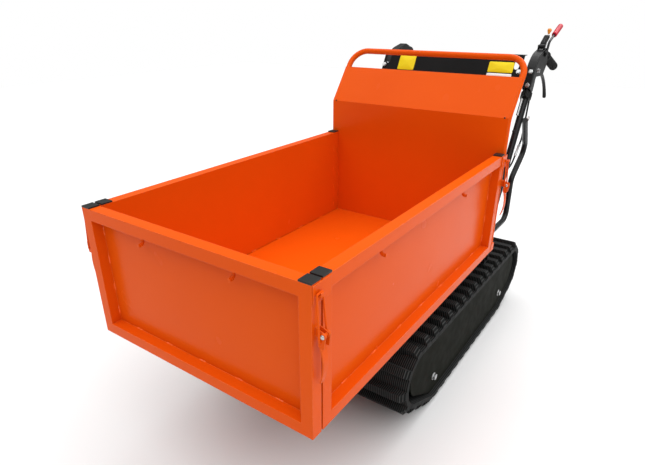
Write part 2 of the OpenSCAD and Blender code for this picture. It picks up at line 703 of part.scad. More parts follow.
// Folded headboard sheet, in front of the hoop
module headboard_sheet() {
    x = hoop_w / 2 - 5;
    back = head_y - 0.1;
    low = floor_z + 0.2;
    along_lean = lean_sheet * [sin(lean), cos(lean)];
    front_fold = [head_front, fold_z + (hoop_r + 0.1 + head_t) * tan(lean / 2)];
    back_fold = [back, fold_z + (hoop_r + 0.1) * tan(lean / 2)];
    color(paint) place() difference() {
        slab(-x, 2 * x) polygon([[head_front, low], [back, low], back_fold, back_fold + along_lean,
            front_fold + along_lean, front_fold]);
        for (s = [-1, 1]) rod_y(s * (x - 14), head_y - 6, head_y + 6, front_fold[1], 3);
    }
}
// Round tube round the headboard, with the bar that the box is tipped by
hoop_r = hoop_d / 2;
hoop_y = head_y + hoop_r;
hoop_x = hoop_w / 2 - hoop_r;
fold_z = box_z + fold_h;
bar_at = [hoop_y + lean_bar * sin(lean), fold_z + lean_bar * cos(lean)];
module headboard_hoop() {
    color(paint) place() {
        pipe([[-hoop_x, hoop_y, floor_z - floor_t], [-hoop_x, hoop_y, fold_z], [-hoop_x, bar_at[0],
            bar_at[1]],
            [hoop_x, bar_at[0], bar_at[1]], [hoop_x, hoop_y, fold_z], [hoop_x, hoop_y, floor_z - floor_t]],
            hoop_r, hoop_bend);
        for (side = [1, -1]) on_side(side) {
            at_latch(true) {
                latch_bracket(-latch_out);
                block([-latch_out - hoop_r, -ear_y - ear_t, -6], [1 - latch_out, ear_y + ear_t, 14]);
            }
            for (z = [floor_z + 60, fold_z - 90])
                block([hoop_x - 20, head_y, z], [hoop_x, hoop_y, z + 40]);
        }
    }
}
module front_panel() {
    color(paint) place() {
        at_front() panel(box_w, [for (s = [-1, 1]) box_w / 2 + s * front_hook_spread / 2],
            [for (h = front_hinges) box_w / 2 + h]);
        for (side = [1, -1]) on_side(side) at_latch(false) latch_bracket(-latch_out);
    }
}
module side_panel(side) {
    color(paint) place() on_side(side) {
        at_left() panel(side_len, [side_hook_first, side_hook_first + side_hook_spread], side_hinges);
        at_latch(false) {
            hook_plate(2 - front_latch_y, side_start + tube - 6 - front_latch_y);
            block([-latch_out - 1, side_start + 1 - front_latch_y, loop_rise - 22],
                [-latch_out + 1, side_start + tube - 6 - front_latch_y, loop_rise + 18]);
        }
        at_latch(true) {
            hook_plate(box_l - tube + 6 - rear_latch_y, tongue + 2);
            block([(box_w - hoop_w) / 2 - latch_out - 1, box_l - tube + 6 - rear_latch_y, loop_rise - 22],
                [-latch_out + 1, box_l - rear_latch_y, loop_rise + 18]);
        }
    }
}
module caps(which) {
    color(black) place() {
        if (which == 0) at_front() post_caps(box_w);
        else on_side(which) at_left() post_caps(side_len);
    }
}
module corner_lever(side, rear) {
    color(paint) place() on_side(side) at_latch(rear) latch_lever();
}
module corner_loop(side, rear) {
    color(paint) place() on_side(side) at_latch(rear) latch_loop();
}

// Handle frame: rear beam, two handle tubes and two guard tubes
guard_r = guard_d / 2;
handle_r = handle_d / 2;
guard_z = beam_z + beam_s + 52;
guard_back = beam_y + 287;
module handle_frame() {
    top = clamp_at + 70 * handle_dir;
    meet = clamp_at - 108 * handle_dir + [handle_r + guard_r - 3, 4, 0];
    low = (guard_z - beam_z - beam_s) * tan(handle_lean);
    color(black) place() {
        difference() {
            block([-handle_x - 20, beam_y, beam_z], [handle_x + 20, beam_y + beam_s, beam_z + beam_s]);
            block([-handle_x - 21, beam_y + 3, beam_z + 3], [handle_x + 21, beam_y + beam_s - 3,
                beam_z + beam_s - 3]);
        }
        for (side = [1, -1]) on_side(side) {
            pipe([[handle_x, foot_y, beam_z + beam_s] - 3 * handle_dir, top], handle_r, 40);
            pipe([[handle_x, foot_y + low, guard_z], [handle_x, guard_back, guard_z], [handle_x,
                guard_back - 7, guard_z + 173],
                [handle_x, guard_back + 139, guard_z + 271], meet], guard_r, 40);
        }
    }
}
module handle_clamps() {
    color(black) place() for (side = [1, -1]) on_side(side) difference() {
        union() {
            along(clamp_at - 26 * handle_dir, handle_dir) cylinder(r = handle_r + 8, h = 24);
            along(clamp_at - 26 * handle_dir, handle_dir) translate([-9, 0, 0]) cube([18, handle_r + 20,
                24]);
        }
        along(clamp_at - 60 * handle_dir, handle_dir) cylinder(r = handle_r + run_fit, h = 100);
        along(clamp_at - 60 * handle_dir, handle_dir) translate([-1.5, 0, 0]) cube([3, handle_r + 40, 100]);
    }
}
// Handle housings: curved channels, open behind and below, each with the grip's bar
lever_at = [clamp_at[1] + 129, clamp_at[2] + 67];
lever_pin_r = 4;
drive_at = [clamp_at[1] + 113, clamp_at[2] + 133];
drive_pin_r = 5;
throttle_at = [clamp_at[1] + 107, clamp_at[2] + 158];
throttle_w = 18;
throttle_pin_r = 3;
gear_at = [clamp_at[1] + 150, clamp_at[2] + 124];
bar_r = 11;
back_from = 18;
back_to = 78;
// Point on the curved back at an angle, moved on along the tangent
function on_back(r, a, go) = housing_at + r * [-cos(a), sin(a)] + go * [sin(a), cos(a)];
function back_line(r, low, high) = concat([on_back(r, back_from, -low)],
    [for (a = [back_from:6:back_to]) on_back(r, a, 0)], [on_back(r, back_to, high)]);
module handle_housing(side) {
    x = handle_x - housing_w / 2;
    from = [clamp_at[1], clamp_at[2]];
    difference() {
        union() {
            difference() {
                slab(x, housing_w) polygon(concat(back_line(housing_r, 41, 54), [for (q = [[162, 141],
                    [172, 126], [175, 98],
                    [168, 82], [158, 72], [136, 54], [126, 51], [40, 54], [33, 50], [30, 42], [27, 20],
                        [13, -4]]) from + q]));
                slab(x + housing_wall, housing_w - 2 * housing_wall) polygon(concat(
                    back_line(housing_r - housing_wall, 110, 140), [from + [240, -60], from + [-40, -60]]));
            }
            block([x + 1, grip_root[1] - 20, grip_root[2] - 24], [x + housing_w - 1, grip_root[1] - 14,
                grip_root[2] + 8]);
            along(grip_root - 20 * grip_dir, grip_dir) cylinder(r = bar_r, h = 20 + grip_len - 9);
            rod_x(x + 1, x + housing_w - 1, lever_at[0], lever_at[1], lever_pin_r);
            if (side > 0) {
                rod_x(x + housing_w - 1, x + housing_w + 9, drive_at[0], drive_at[1], drive_pin_r);
                for (s = [-1, 1]) block([handle_x + s * (throttle_w / 2 + 1.8) - 1.5, throttle_at[0] - 8,
                    throttle_at[1] - 16],
                    [handle_x + s * (throttle_w / 2 + 1.8) + 1.5, throttle_at[0] + 8, throttle_at[1] + 6]);
                rod_x(handle_x - throttle_w / 2 - 2, handle_x + throttle_w / 2 + 2, throttle_at[0],
                    throttle_at[1], throttle_pin_r);
                rod_x(x + 1, handle_x + 5, gear_at[0], gear_at[1], 2);
            }
        }
        for (q = housing_bolts) along([handle_x + 3, on_back(housing_r + 1, q[0], -q[1])[0],
            on_back(housing_r + 1, q[0], -q[1])[1]],
            [0, cos(q[0]), -sin(q[0])]) cylinder(r = bolt_small + clear, h = 8);
        for (q = side_bolts) rod_x(x + housing_w - 8, x + housing_w + 1, from[0] + q[0], from[1] + q[1],
            bolt_small + clear);
    }
}
module handle_housings() {
    color(black) place() {
        handle_housing(1);
        on_side(-1) handle_housing(-1);
    }
}
// Ribbed rubber grips
module hand_grips() {
    ribs = 9;
    step = (grip_len - 24) / ribs;
    color(rubber) place() for (side = [1, -1]) on_side(side) along(grip_root + 5 * grip_dir, grip_dir)
        difference() {
        union() {
            cylinder(r = grip_r + 4, h = 5);
            cylinder(r = grip_r - 1.5, h = grip_len);
            for (i = [0:ribs - 1]) translate([0, 0, 10 + i * step]) cylinder(r = grip_r, h = step * 0.6);
            translate([0, 0, grip_len - 10]) cylinder(r = grip_r, h = 10);
        }
        translate([0, 0, -1]) cylinder(r = bar_r + run_fit, h = grip_len - 12);
    }
}
// Curved steering lever under a grip
module steering_lever(side) {
    w = 14;
    bow = 274;
    start = 78;
    sweep = 45;
    color(black) place() on_side(side) translate([handle_x, lever_at[0], lever_at[1]]) difference() {
        union() {
            rod_x(-w / 2, w / 2, 0, 0, 10);
            translate([0.5 - w / 2, -bow * cos(start), -bow * sin(start)]) across() rotate([0, 0,
                start - sweep])
                rotate_extrude(angle = sweep - 1.5) translate([bow - 5, 0]) square([10, w - 1]);
            rod_x(1 - w / 2, w / 2 - 1, bow * (cos(start - sweep) - cos(start)),
                bow * (sin(start - sweep) - sin(start)), 5.6);
        }
        rod_x(-w, w, 0, 0, lever_pin_r + run_fit);
    }
}
// Drive lever with a flat eye, and its red sleeve
drive_x = handle_x + housing_w / 2 + 4.5;
drive_path = [[drive_x, drive_at[0], drive_at[1]], [drive_x, drive_at[0] + 20, drive_at[1] + 41],
    [drive_x, drive_at[0] + 165, drive_at[1] + 94]];
drive_dir = unit(drive_path[2] - drive_path[1]);
module drive_lever() {
    color(black) place() difference() {
        union() {
            rod_x(drive_x - 3, drive_x + 3, drive_at[0], drive_at[1], 12);
            pipe([drive_path[0] + 6 * unit(drive_path[1] - drive_path[0]), drive_path[1], drive_path[2]],
                4.5, 30);
        }
        rod_x(drive_x - 5, drive_x + 5, drive_at[0], drive_at[1], drive_pin_r + run_fit);
    }
}
module drive_lever_sleeve() {
    l = 96;
    color("crimson") place() along(drive_path[2] - (l - 8) * drive_dir, drive_dir) rotate_extrude()
        polygon(concat([[4.5 + run_fit, 0], [9, 0], [10, 2], [10, l - 9]],
            [for (a = [10:10:80]) [10 * cos(a), l - 9 + 9 * sin(a)]],
            [[0, l], [0, l - 8 + clear], [4.5 + run_fit, l - 8 + clear]]));
}
// Ribbed thumb lever for the throttle
module throttle_lever() {
    l = 74;
    w = throttle_w / 2;
    tilt = 28;
    color(black) place() translate([handle_x, throttle_at[0], throttle_at[1]]) rotate([tilt, 0, 0])
        difference() {
        union() {
            rod_x(-w, w, 0, 0, 8);
            block([-w, 0, -6], [w, l, 5]);
            for (i = [0:6]) block([-w, 16 + i * 8, 4], [w, 20 + i * 8, 8]);
        }
        rod_x(-w - 4, w + 4, 0, 0, throttle_pin_r + run_fit);
    }
}
// Thin gear lever with a pear-shaped knob
module gear_lever() {
    way = unit([0, 43, 92]);
    color("orange") place() translate([handle_x, gear_at[0], gear_at[1]]) {
        difference() {
            union() {
                rod_x(-2.5, 2.5, 0, 0, 6);
                along([0, 0, 0], way) cylinder(r = 2.4, h = 88);
            }
            rod_x(-6, 6, 0, 0, 2 + run_fit);
        }
        along(85 * way, way) rotate_extrude() polygon(concat([[0, 0], [3.6, 0], [5.5, 6]],
            [for (a = [-20:10:80]) [8 * cos(a), 14 + 8 * sin(a)]], [[0, 22]]));
    }
}
// Console panel folded from sheet, between the housings
console_t = 2;
console_top = [clamp_at[1] - 51, clamp_at[2] + 135];
// Point on the panel's front face at a height
function on_console(z) = console_top + (z - console_top[1]) * [tan(handle_lean), 1];
console_bolt_x = handle_x - 22;
console_bolt = on_console(clamp_at[2] + 79);
module console_panel() {
    t = console_t;
    x = handle_x - housing_w / 2;
    foot = on_console(clamp_at[2] - 20);
    arm = [on_console(clamp_at[2] + 72), on_console(clamp_at[2] + 26)];
    slot_x = handle_x - 35;
    slot_r = 9;
    color(black) place() difference() {
        union() {
            slab(-x, 2 * x) polygon([foot, foot + [t / cos(handle_lean), 0],
                console_top + [t / cos(handle_lean), -t],
                console_top + [30, -t], console_top + [30, 0], console_top]);
            for (s = [-1, 1]) slab(s > 0 ? x - t : -x, t) polygon([arm[0] + [0.5, 0], [clamp_at[1] + 30,
                clamp_at[2] + 74],
                [clamp_at[1] + 20, clamp_at[2] + 30], arm[1] + [0.5, 0]]);
        }
        for (s = [-1, 1]) {
            for (z = [95, 114]) rod_y(s * slot_x, console_top[0] - 40, console_top[0] + 10,
                clamp_at[2] + z, slot_r);
            block([s * slot_x - slot_r, console_top[0] - 40, clamp_at[2] + 95],
                [s * slot_x + slot_r, console_top[0] + 10, clamp_at[2] + 114]);
            along([s * console_bolt_x, console_bolt[0], console_bolt[1]] - 4 * [0, cos(handle_lean),
                -sin(handle_lean)],
                [0, cos(handle_lean), -sin(handle_lean)]) cylinder(r = bolt_small + clear, h = 12);
        }
    }
}
// Control cables in their sheaths, with screw adjusters
module control_cables() {
    color(black) place() for (side = [1, -1]) on_side(side) {
        start = [handle_x - 4, clamp_at[1] + 80, clamp_at[2] + 62];
        low = [handle_x - 12, clamp_at[1] + 82, clamp_at[2] - 194];
        pipe([start, low, [handle_x - 14, clamp_at[1] - 4, clamp_at[2] - 283], [200, rail_rear - 30, 480],
            [110, rail_rear + 45, 380], [80, rail_rear + 36, 262], [80, rail_rear + clear, 262]], 3.5, 20);
        along(start + 0.74 * (low - start), low - start) cylinder(r = 5, h = 52);
    }
}

// Gearbox between the tracks, below the engine plate
input_at = [sprocket_y - 66, 232];
belt_x = 160;
belt_w = 13;
input_r = 12;
module gearbox() {
    from = sprocket_y - 108;
    color(cast) place() difference() {
        union() {
            intersection() {
                block([-gearbox_x, from, 95], [gearbox_x, rail_rear, rail_z + rail_h]);
                slab(-gearbox_x, 2 * gearbox_x) polygon([[from, 130], [from + 35, 95], [rail_rear - 35,
                    95], [rail_rear, 130],
                    [rail_rear, rail_z + rail_h + 1], [from, rail_z + rail_h + 1]]);
            }
            block([-4, from - 10, 110], [4, rail_rear + 10, rail_z + rail_h - 4]);
            for (s = [-1, 1]) rod_x(s > 0 ? gearbox_x - 1 : -axle_tube_end, s > 0 ? axle_tube_end
                : 1 - gearbox_x,
                sprocket_y, sprocket_z, shaft_r + 12);
            rod_x(gearbox_x - 1, gearbox_x + 8, input_at[0], input_at[1], 24);
        }
        for (s = [-1, 1]) rod_x(s > 0 ? gearbox_x - 32 : -axle_tube_end - 1, s > 0 ? axle_tube_end + 1
            : 32 - gearbox_x,
            sprocket_y, sprocket_z, shaft_r + run_fit);
        rod_x(gearbox_x - 40, gearbox_x + 20, input_at[0], input_at[1], input_r + run_fit);
    }
}
// Grooved pulley on its shaft, from x0 to the pulley's outer face
module pulley(x0, y, z, r, shaft) {
    h = belt_w / 2 + 4;
    rod_x(x0, belt_x + h, y, z, shaft);
    translate([belt_x, y, z]) rotate([0, 90, 0]) rotate_extrude() polygon([[shaft - 1, -h], [r + 6, -h],
        [r + 6, 2 - h], [r - 7, -3], [r - 7, 3], [r + 6, h - 2], [r + 6, h], [shaft - 1, h]]);
}
module gearbox_pulley() {
    color(cast) place() pulley(gearbox_x - 38, input_at[0], input_at[1], gear_pulley_r - 4, input_r);
}
crank_at = [engine_y + 115, engine_z + crank_h];
crank_r = 10;
module crank_pulley() {
    color(cast) place() pulley(70, crank_at[0], crank_at[1], crank_pulley_r - 4, crank_r);
}
// Belt round both pulleys
belt_path = [[crank_at[0], crank_at[1], crank_pulley_r + 1.5], [input_at[0], input_at[1],
    gear_pulley_r + 1.5]];
module belt_section(i) {
    t = 8;
    h = belt_w / 2 - i;
    polygon([[i, 2.6 - h], [t - i, -h], [t - i, h], [i, h - 2.6]]);
}
module drive_belt() {
    color(rubber) place() translate([belt_x, 0, 0]) across() for (k = [0, 1]) {
        a = run_normal(belt_path, before(belt_path, k));
        b = run_normal(belt_path, k);
        start = rim(belt_path, k, b, 0);
        translate([belt_path[k][0], belt_path[k][1], 0]) rotate([0, 0, a])
            rotate_extrude(angle = wrap(belt_path, k))
            translate([belt_path[k][2], 0]) belt_section(bend_inset);
        translate([start[0], start[1], 0]) rotate([0, 0, b]) translate([0, -1, 0]) rotate([-90, 0, 0])
            mirror([0, 1, 0]) linear_extrude(run_length(belt_path, k) + 2) belt_section(0);
    }
}
// Belt tightener on the chassis rail, with its roller
arm_at = [engine_y + 17, rail_z + 30];
arm_pin_r = 6;
module tension_arm() {
    tip = arm_at + [22, 66];
    color(steel) place() difference() {
        union() {
            rod_x(rail_x + rail_w / 2 + clear, rail_x + rail_w / 2 + 6, arm_at[0], arm_at[1], 13);
            rod_x(rail_x + rail_w / 2 + clear, rail_x + rail_w / 2 + 6, tip[0], tip[1], 10);
            slab(rail_x + rail_w / 2 + clear, 6 - clear) polygon([arm_at + [-9, 3], arm_at + [9, -3],
                tip + [9, -3], tip + [-9, 3]]);
            rod_x(rail_x + rail_w / 2 + 5, belt_x + belt_w / 2 + 2, tip[0], tip[1], 16);
        }
        rod_x(rail_x, rail_x + rail_w, arm_at[0], arm_at[1], arm_pin_r + run_fit);
    }
}
// Engine: crankcase and finned cylinder
module engine_block() {
    fins = 9;
    color(cast) place() difference() {
        union() {
            slab(-110, 200) polygon([[engine_y + 10, engine_z], [engine_y + 225, engine_z],
                [engine_y + 225, engine_z + 40], [engine_y + 195, engine_z + 175],
                [engine_y + 170, engine_z + 200], [engine_y + 50, engine_z + 200], [engine_y + 25,
                    engine_z + 175]]);
            rod_x(89, 104, crank_at[0], crank_at[1], 45);
            translate([-5, engine_y + 180, crank_at[1] + 25]) rotate([25, 0, 0]) {
                block([-50, 0, -48], [50, 128, 48]);
                for (i = [0:fins - 1]) block([-68, 22 + i * 11, -62], [68, 26 + i * 11, 62]);
                block([-58, 122, -54], [58, 136, 54]);
                rod_y(0, 135, 142, 0, 36);
            }
            for (x = [34, -40]) translate([x, engine_y + 221, crank_at[1] + 60]) cylinder(r = 16,
                h = duct_z - crank_at[1] - 60);
        }
        rod_x(60, 120, crank_at[0], crank_at[1], crank_r + run_fit);
    }
}
module recoil_cover() {
    color(black) place() translate([-110, crank_at[0], crank_at[1]]) rotate([0, -90, 0]) difference() {
        rotate_extrude() polygon([[0, 0], [96, 0], [96, 34], [84, 46], [40, 50], [34, 56], [0, 56]]);
        for (i = [0:11]) rotate([0, 0, i * 30]) translate([52, -5, 30]) cube([24, 10, 30]);
        translate([26, 26, 22]) rotate([-90, 0, -45]) cylinder(r = 3, h = 110);
    }
}
starter_at = [-132, crank_at[0] + 69, crank_at[1] + 69];
module starter_grip() {
    d = [0, 1, 1] / sqrt(2);
    color(rubber) place() {
        along(starter_at - 58 * d + [0, 0, 0], d) cylinder(r = 2.5, h = 60);
        along(starter_at + 1 * d, d) cylinder(r1 = 9, r2 = 11, h = 12);
        translate(starter_at + 17 * d) rotate([45, 0, 0]) rotate([0, 90, 0]) translate([0, 0, -20])
            cylinder(r = 9, h = 40);
    }
}
tank_z = engine_z + 200;
duct_z = tank_z + 54;
module fuel_tank() {
    color(black) place() difference() {
        union() {
            block([-108, engine_y + 17, tank_z], [98, engine_y + 157, tank_z + 76]);
            slab(-100, 186) polygon([[engine_y + 29, tank_z + 75], [engine_y + 145, tank_z + 75],
                [engine_y + 129, tank_z + 92], [engine_y + 45, tank_z + 92]]);
            translate([-40, engine_y + 85, tank_z + 90]) cylinder(r = 24, h = 10);
        }
        translate([-40, engine_y + 85, tank_z + 70]) cylinder(r = 16 + run_fit, h = 40);
    }
}
module fuel_cap() {
    color(black) place() translate([-40, engine_y + 85, tank_z + 100 + clear]) difference() {
        union() {
            cylinder(r = 30, h = 14);
            translate([0, 0, -18]) cylinder(r = 16, h = 19);
        }
        for (i = [0:11]) rotate([0, 0, 30 * i]) translate([31.5, 0, 2]) cylinder(r = 3.5, h = 14);
    }
}
module air_filter() {
    color(black) place() {
        block([8, engine_y + 173, duct_z], [112, engine_y + 273, duct_z + 88]);
        block([14, engine_y + 179, duct_z + 87], [106, engine_y + 267, duct_z + 96]);
        rod_y(60, engine_y + 272, engine_y + 279, duct_z + 45, 9);
    }
}
module muffler() {
    color(cast) place() {
        difference() {
            block([-118, engine_y + 173, duct_z], [-12, engine_y + 277, duct_z + 88]);
            block([-115, engine_y + 176, duct_z + 3], [-15, engine_y + 274, duct_z + 85]);
            for (i = [0:5], j = [0:3]) rod_y(-100 + i * 14, engine_y + 265, engine_y + 285,
                duct_z + 16 + j * 18, 4);
        }
        rod_x(-136, -117, engine_y + 255, duct_z + 20, 11);
    }
}

chassis_frame();
track_frame(1);  // track_frame_left
track_frame(-1);  // track_frame_right
side_plate(1);  // side_plate_left
side_plate(-1);  // side_plate_right
rubber_track(1);  // rubber_track_left
rubber_track(-1);  // rubber_track_right
sprocket(1);  // sprocket_left
sprocket(-1);  // sprocket_right
idler(1);  // idler_left
idler(-1);  // idler_right
roller(1, roller_front_y);  // front_roller_left
roller(-1, roller_front_y);  // front_roller_right
roller(1, roller_rear_y);  // rear_roller_left
roller(-1, roller_rear_y);  // rear_roller_right
track_tensioners();
hex_bolts();
gearbox();
gearbox_pulley();
engine_block();
recoil_cover();
starter_grip();
fuel_tank();
fuel_cap();
air_filter();
muffler();
crank_pulley();
drive_belt();
tension_arm();
bed_floor();
headboard_sheet();
headboard_hoop();
front_panel();
side_panel(1);  // left_panel
side_panel(-1);  // right_panel
hinge_pins();
caps(0);  // front_caps
caps(1);  // left_caps
caps(-1);  // right_caps
corner_lever(1, false);  // latch_lever_front_left
corner_lever(-1, false);  // latch_lever_front_right
corner_lever(1, true);  // latch_lever_rear_left
corner_lever(-1, true);  // latch_lever_rear_right
corner_loop(1, false);  // latch_loop_front_left
corner_loop(-1, false);  // latch_loop_front_right
corner_loop(1, true);  // latch_loop_rear_left
corner_loop(-1, true);  // latch_loop_rear_right
handle_frame();
handle_clamps();
console_panel();
handle_housings();
hand_grips();
steering_lever(1);  // steering_lever_left
steering_lever(-1);  // steering_lever_right
drive_lever();
drive_lever_sleeve();
throttle_lever();
gear_lever();
control_cables();
tip_latch();
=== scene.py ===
"""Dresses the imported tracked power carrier: a finish for every solid, and the small formed pieces on it.

Lengths are in metres. Places are measured from the machine's middle, the front panel's outer face and the
ground, with X to the operator's left, and at_rest moves them into the frame.
"""

import json
import math

import bpy
import numpy as np
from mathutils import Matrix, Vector


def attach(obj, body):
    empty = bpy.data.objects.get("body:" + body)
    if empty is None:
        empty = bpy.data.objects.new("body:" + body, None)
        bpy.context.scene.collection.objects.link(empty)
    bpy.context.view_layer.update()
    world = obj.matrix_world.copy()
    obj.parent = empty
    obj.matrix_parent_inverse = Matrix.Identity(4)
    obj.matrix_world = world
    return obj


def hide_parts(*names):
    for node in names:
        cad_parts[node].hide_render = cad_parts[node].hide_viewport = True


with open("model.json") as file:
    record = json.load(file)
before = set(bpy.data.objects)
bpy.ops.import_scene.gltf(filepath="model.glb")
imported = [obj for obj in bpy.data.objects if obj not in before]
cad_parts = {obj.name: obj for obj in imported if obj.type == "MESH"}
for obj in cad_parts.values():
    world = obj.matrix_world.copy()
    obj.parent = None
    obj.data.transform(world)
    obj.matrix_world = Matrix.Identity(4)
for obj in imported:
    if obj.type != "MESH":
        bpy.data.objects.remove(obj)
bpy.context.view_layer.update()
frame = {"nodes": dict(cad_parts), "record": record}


def unit(vector):
    """The vector divided by its own length."""
    vector = np.asarray(vector, float)
    return vector / np.linalg.norm(vector)


# From the front panel's face to the frame's origin
MID_Y = 0.8857112

# Load box: half its width, the panels' lower edge, their square tube, the side panels' two ends, and how
# far the sheets lie behind the outer faces
BOX_HALF = 0.350
BOX_LOW = 0.385
TUBE = 0.030
SIDE_FROM = 0.036
SIDE_TO = 1.104
SHEET_IN = 0.0285

# Tracks: outer face, width, thickness of the band, and its lugs
TRACK_OUT = 0.355
TRACK_WIDE = 0.180
BAND = 0.015
LUG_HIGH = 0.023
LUG_LONG = 0.026
LUG_COUNT = 40

# Idler, front roller, rear roller and sprocket inside a band: each one's distance behind the front, its
# height, and the radius of the band's inner face on it
WHEELS = np.array([
    [0.545, 0.187, 0.085],
    [0.672, 0.102, 0.064],
    [1.340, 0.102, 0.064],
    [1.458, 0.163, 0.085],
])

# Fine ribs across each lug: their number, and the first one's distance from the track's edge
RIB_COUNT = 25
RIB_FROM = 0.017
RIB_PITCH = (TRACK_WIDE - 2 * RIB_FROM) / (RIB_COUNT - 1)

# Handles: the tubes lean back from their feet to the clamps, and the rest is placed from the left clamp
LEAN = math.radians(28)
HANDLE_X = 0.300
HANDLE_LONG = 0.634
HANDLE_R = 0.0125
HANDLE_DIR = np.array([0.0, math.sin(LEAN), math.cos(LEAN)])
FRONT_DIR = np.array([0.0, -math.cos(LEAN), math.sin(LEAN)])
CLAMP = np.array([HANDLE_X, 1.1733333, 0.345]) + HANDLE_LONG * HANDLE_DIR
GRIP_DIR = unit([0.17, 0.89, -0.423])
GRIP_ROOT = CLAMP + [0.0, 0.185, 0.121]
LEVER_PIN = CLAMP + [0.0, 0.129, 0.067]
CONSOLE_TOP = np.array([0.0, CLAMP[1] - 0.051, CLAMP[2] + 0.135])

ALONG_X, ALONG_Y, ALONG_Z = np.eye(3)
SIDES = (("left", 1), ("right", -1))


def at_rest(points):
    """Points measured from the front panel's face, moved into the frame's own origin."""
    return np.asarray(points, float) - MID_Y * ALONG_Y


def added(name, data):
    """A new object in the scene that holds a mesh, a light or a camera."""
    thing = bpy.data.objects.new(name, data)
    bpy.context.scene.collection.objects.link(thing)
    return thing


def aimed(way):
    """The turn that points a camera or a light along a direction."""
    return Vector(way).to_track_quat("-Z", "Y").to_euler()


# Camera at the photograph's viewing angle and framing
CAMERA_AT = [0.811, -0.624, 1.175]
VIEW_TURN = math.radians(34.87)
VIEW_DROP = math.radians(24.91)
level = math.cos(VIEW_DROP)
camera_data = bpy.data.cameras.new("camera")
camera_data.lens = 28.28
camera_data.sensor_width = 36.0
camera_data.shift_x = -0.0016
camera_data.shift_y = 0.0267
camera_data.clip_start = 0.05
camera = added("camera", camera_data)
camera.location = at_rest(CAMERA_AT)
camera.rotation_euler = aimed(
    (-math.sin(VIEW_TURN) * level, math.cos(VIEW_TURN) * level, -math.sin(VIEW_DROP)))
bpy.context.scene.camera = camera

# Plain colour rendering, so that white stays white and the coat keeps its depth
bpy.context.scene.view_settings.view_transform = "Standard"


# Mesh making
def grid_faces(rows, cols, closing):
    """Faces of a grid of points whose columns go all the way round: quads from each row to the next.

    closing says what happens at the first and the last row: caps puts a face on each, loop joins the last
    row to the first, and open leaves them.
    """
    index = np.arange(rows * cols).reshape(rows, cols)
    index = np.concatenate([index, index[:, :1]], axis=1)
    if closing == "loop":
        index = np.concatenate([index, index[:1]], axis=0)
    quads = np.stack([index[:-1, :-1], index[:-1, 1:], index[1:, 1:], index[1:, :-1]], axis=-1)
    faces = [quads.reshape(-1, 4)]
    if closing == "caps":
        first = np.arange(cols)
        faces.append(np.stack([first[::-1], first + (rows - 1) * cols]))
    return faces


def many(name, points, faces, smooth=True):
    """One mesh from a stack of like shapes: points [count, corners, 3] and the faces of the first one."""
    count, corners = points.shape[:2]
    start = np.arange(count)[:, None, None] * corners
    every = []
    for part in faces:
        every += (start + part[None]).reshape(-1, part.shape[1]).tolist()
    mesh = bpy.data.meshes.new(name)
    mesh.from_pydata(at_rest(points).reshape(-1, 3).tolist(), [], every)
    mesh.polygons.foreach_set("use_smooth", np.full(len(mesh.polygons), smooth))
    mesh.update()
    return added(name, mesh)


def surfaces(name, grids, closing="caps", smooth=True):
    """One mesh from a list of grids of points [rows, columns, 3] of the same size."""
    grids = np.asarray(grids, float)
    count, rows, cols = grids.shape[:3]
    return many(name, grids.reshape(count, rows * cols, 3), grid_faces(rows, cols, closing), smooth)


def surface(name, grid, closing="caps", smooth=True):
    """A mesh from one grid of points."""
    return surfaces(name, [grid], closing, smooth)


def mirrored(grid):
    """The same grid on the operator's right, with each row turned round so that faces stay outwards."""
    flipped = np.array(grid, float)[:, ::-1]
    flipped[..., 0] *= -1
    return flipped


def on_side(grid, sign):
    """The grid as it is for the left, where sign is 1, or mirrored to the right."""
    return grid if sign > 0 else mirrored(grid)


def full_turn(steps):
    """The angles of one turn in equal steps."""
    return np.linspace(0, 2 * math.pi, steps, endpoint=False)


def rings(path, radius, turns):
    """A round tube: a circle of points square to a path at each of its points.

    Each circle starts at the point of it that lies furthest along X.
    """
    ahead = np.gradient(path, axis=0)
    ahead /= np.linalg.norm(ahead, axis=1)[:, None]
    side = ALONG_X - (ALONG_X * ahead).sum(1)[:, None] * ahead
    side /= np.linalg.norm(side, axis=1)[:, None]
    turn = full_turn(turns)[None, :, None]
    out = np.cos(turn) * side[:, None] + np.sin(turn) * np.cross(ahead, side)[:, None]
    return path[:, None] + np.broadcast_to(radius, len(path))[:, None, None] * out


def turned(centre, axis, along, radius, turns=32):
    """A profile turned about an axis: one ring for each distance along it, with the radius there.

    A radius given as rows of numbers also changes with the turn. A ring starts at its highest point, or at
    the one furthest along X where the axis is nearly upright.
    """
    axis = unit(axis)
    upright = abs(axis[2]) >= 0.9
    side = ALONG_X if upright else ALONG_Z
    side = unit(side - (side @ axis) * axis)
    turn = full_turn(turns)[None, :, None]
    radius = np.asarray(radius, float)
    radius = radius[:, None, None] if radius.ndim == 1 else radius[:, :, None]
    along = np.asarray(along, float)[:, None, None]
    out = np.cos(turn) * side + np.sin(turn) * np.cross(axis, side)
    return np.asarray(centre, float) + along * axis + radius * out


def lathe(centre, axis, profile, turns):
    """A turned shape from pairs of numbers: a distance along its axis and the radius there."""
    along, radius = np.array(profile).T
    return turned(centre, axis, along, radius, turns)


def hex_head(centre, axis, half_wide, high, turns=36):
    """A hexagon head on a face: a six-sided outline that goes straight up and is drawn in at its top edge.

    half_wide is half the width across flats, and the outline is that over the cosine of the turn from the
    middle of a flat.
    """
    edge_at, top_share, foot_share = 0.88, 0.82, 0.5
    from_flat = (full_turn(turns) + math.pi / 6) % (math.pi / 3) - math.pi / 6
    outline = half_wide / np.cos(from_flat)
    share = np.array([foot_share, 1.0, 1.0, top_share])[:, None]
    return turned(centre, axis, np.array([0.0, 0.0, edge_at, 1.0]) * high, share * outline, turns)


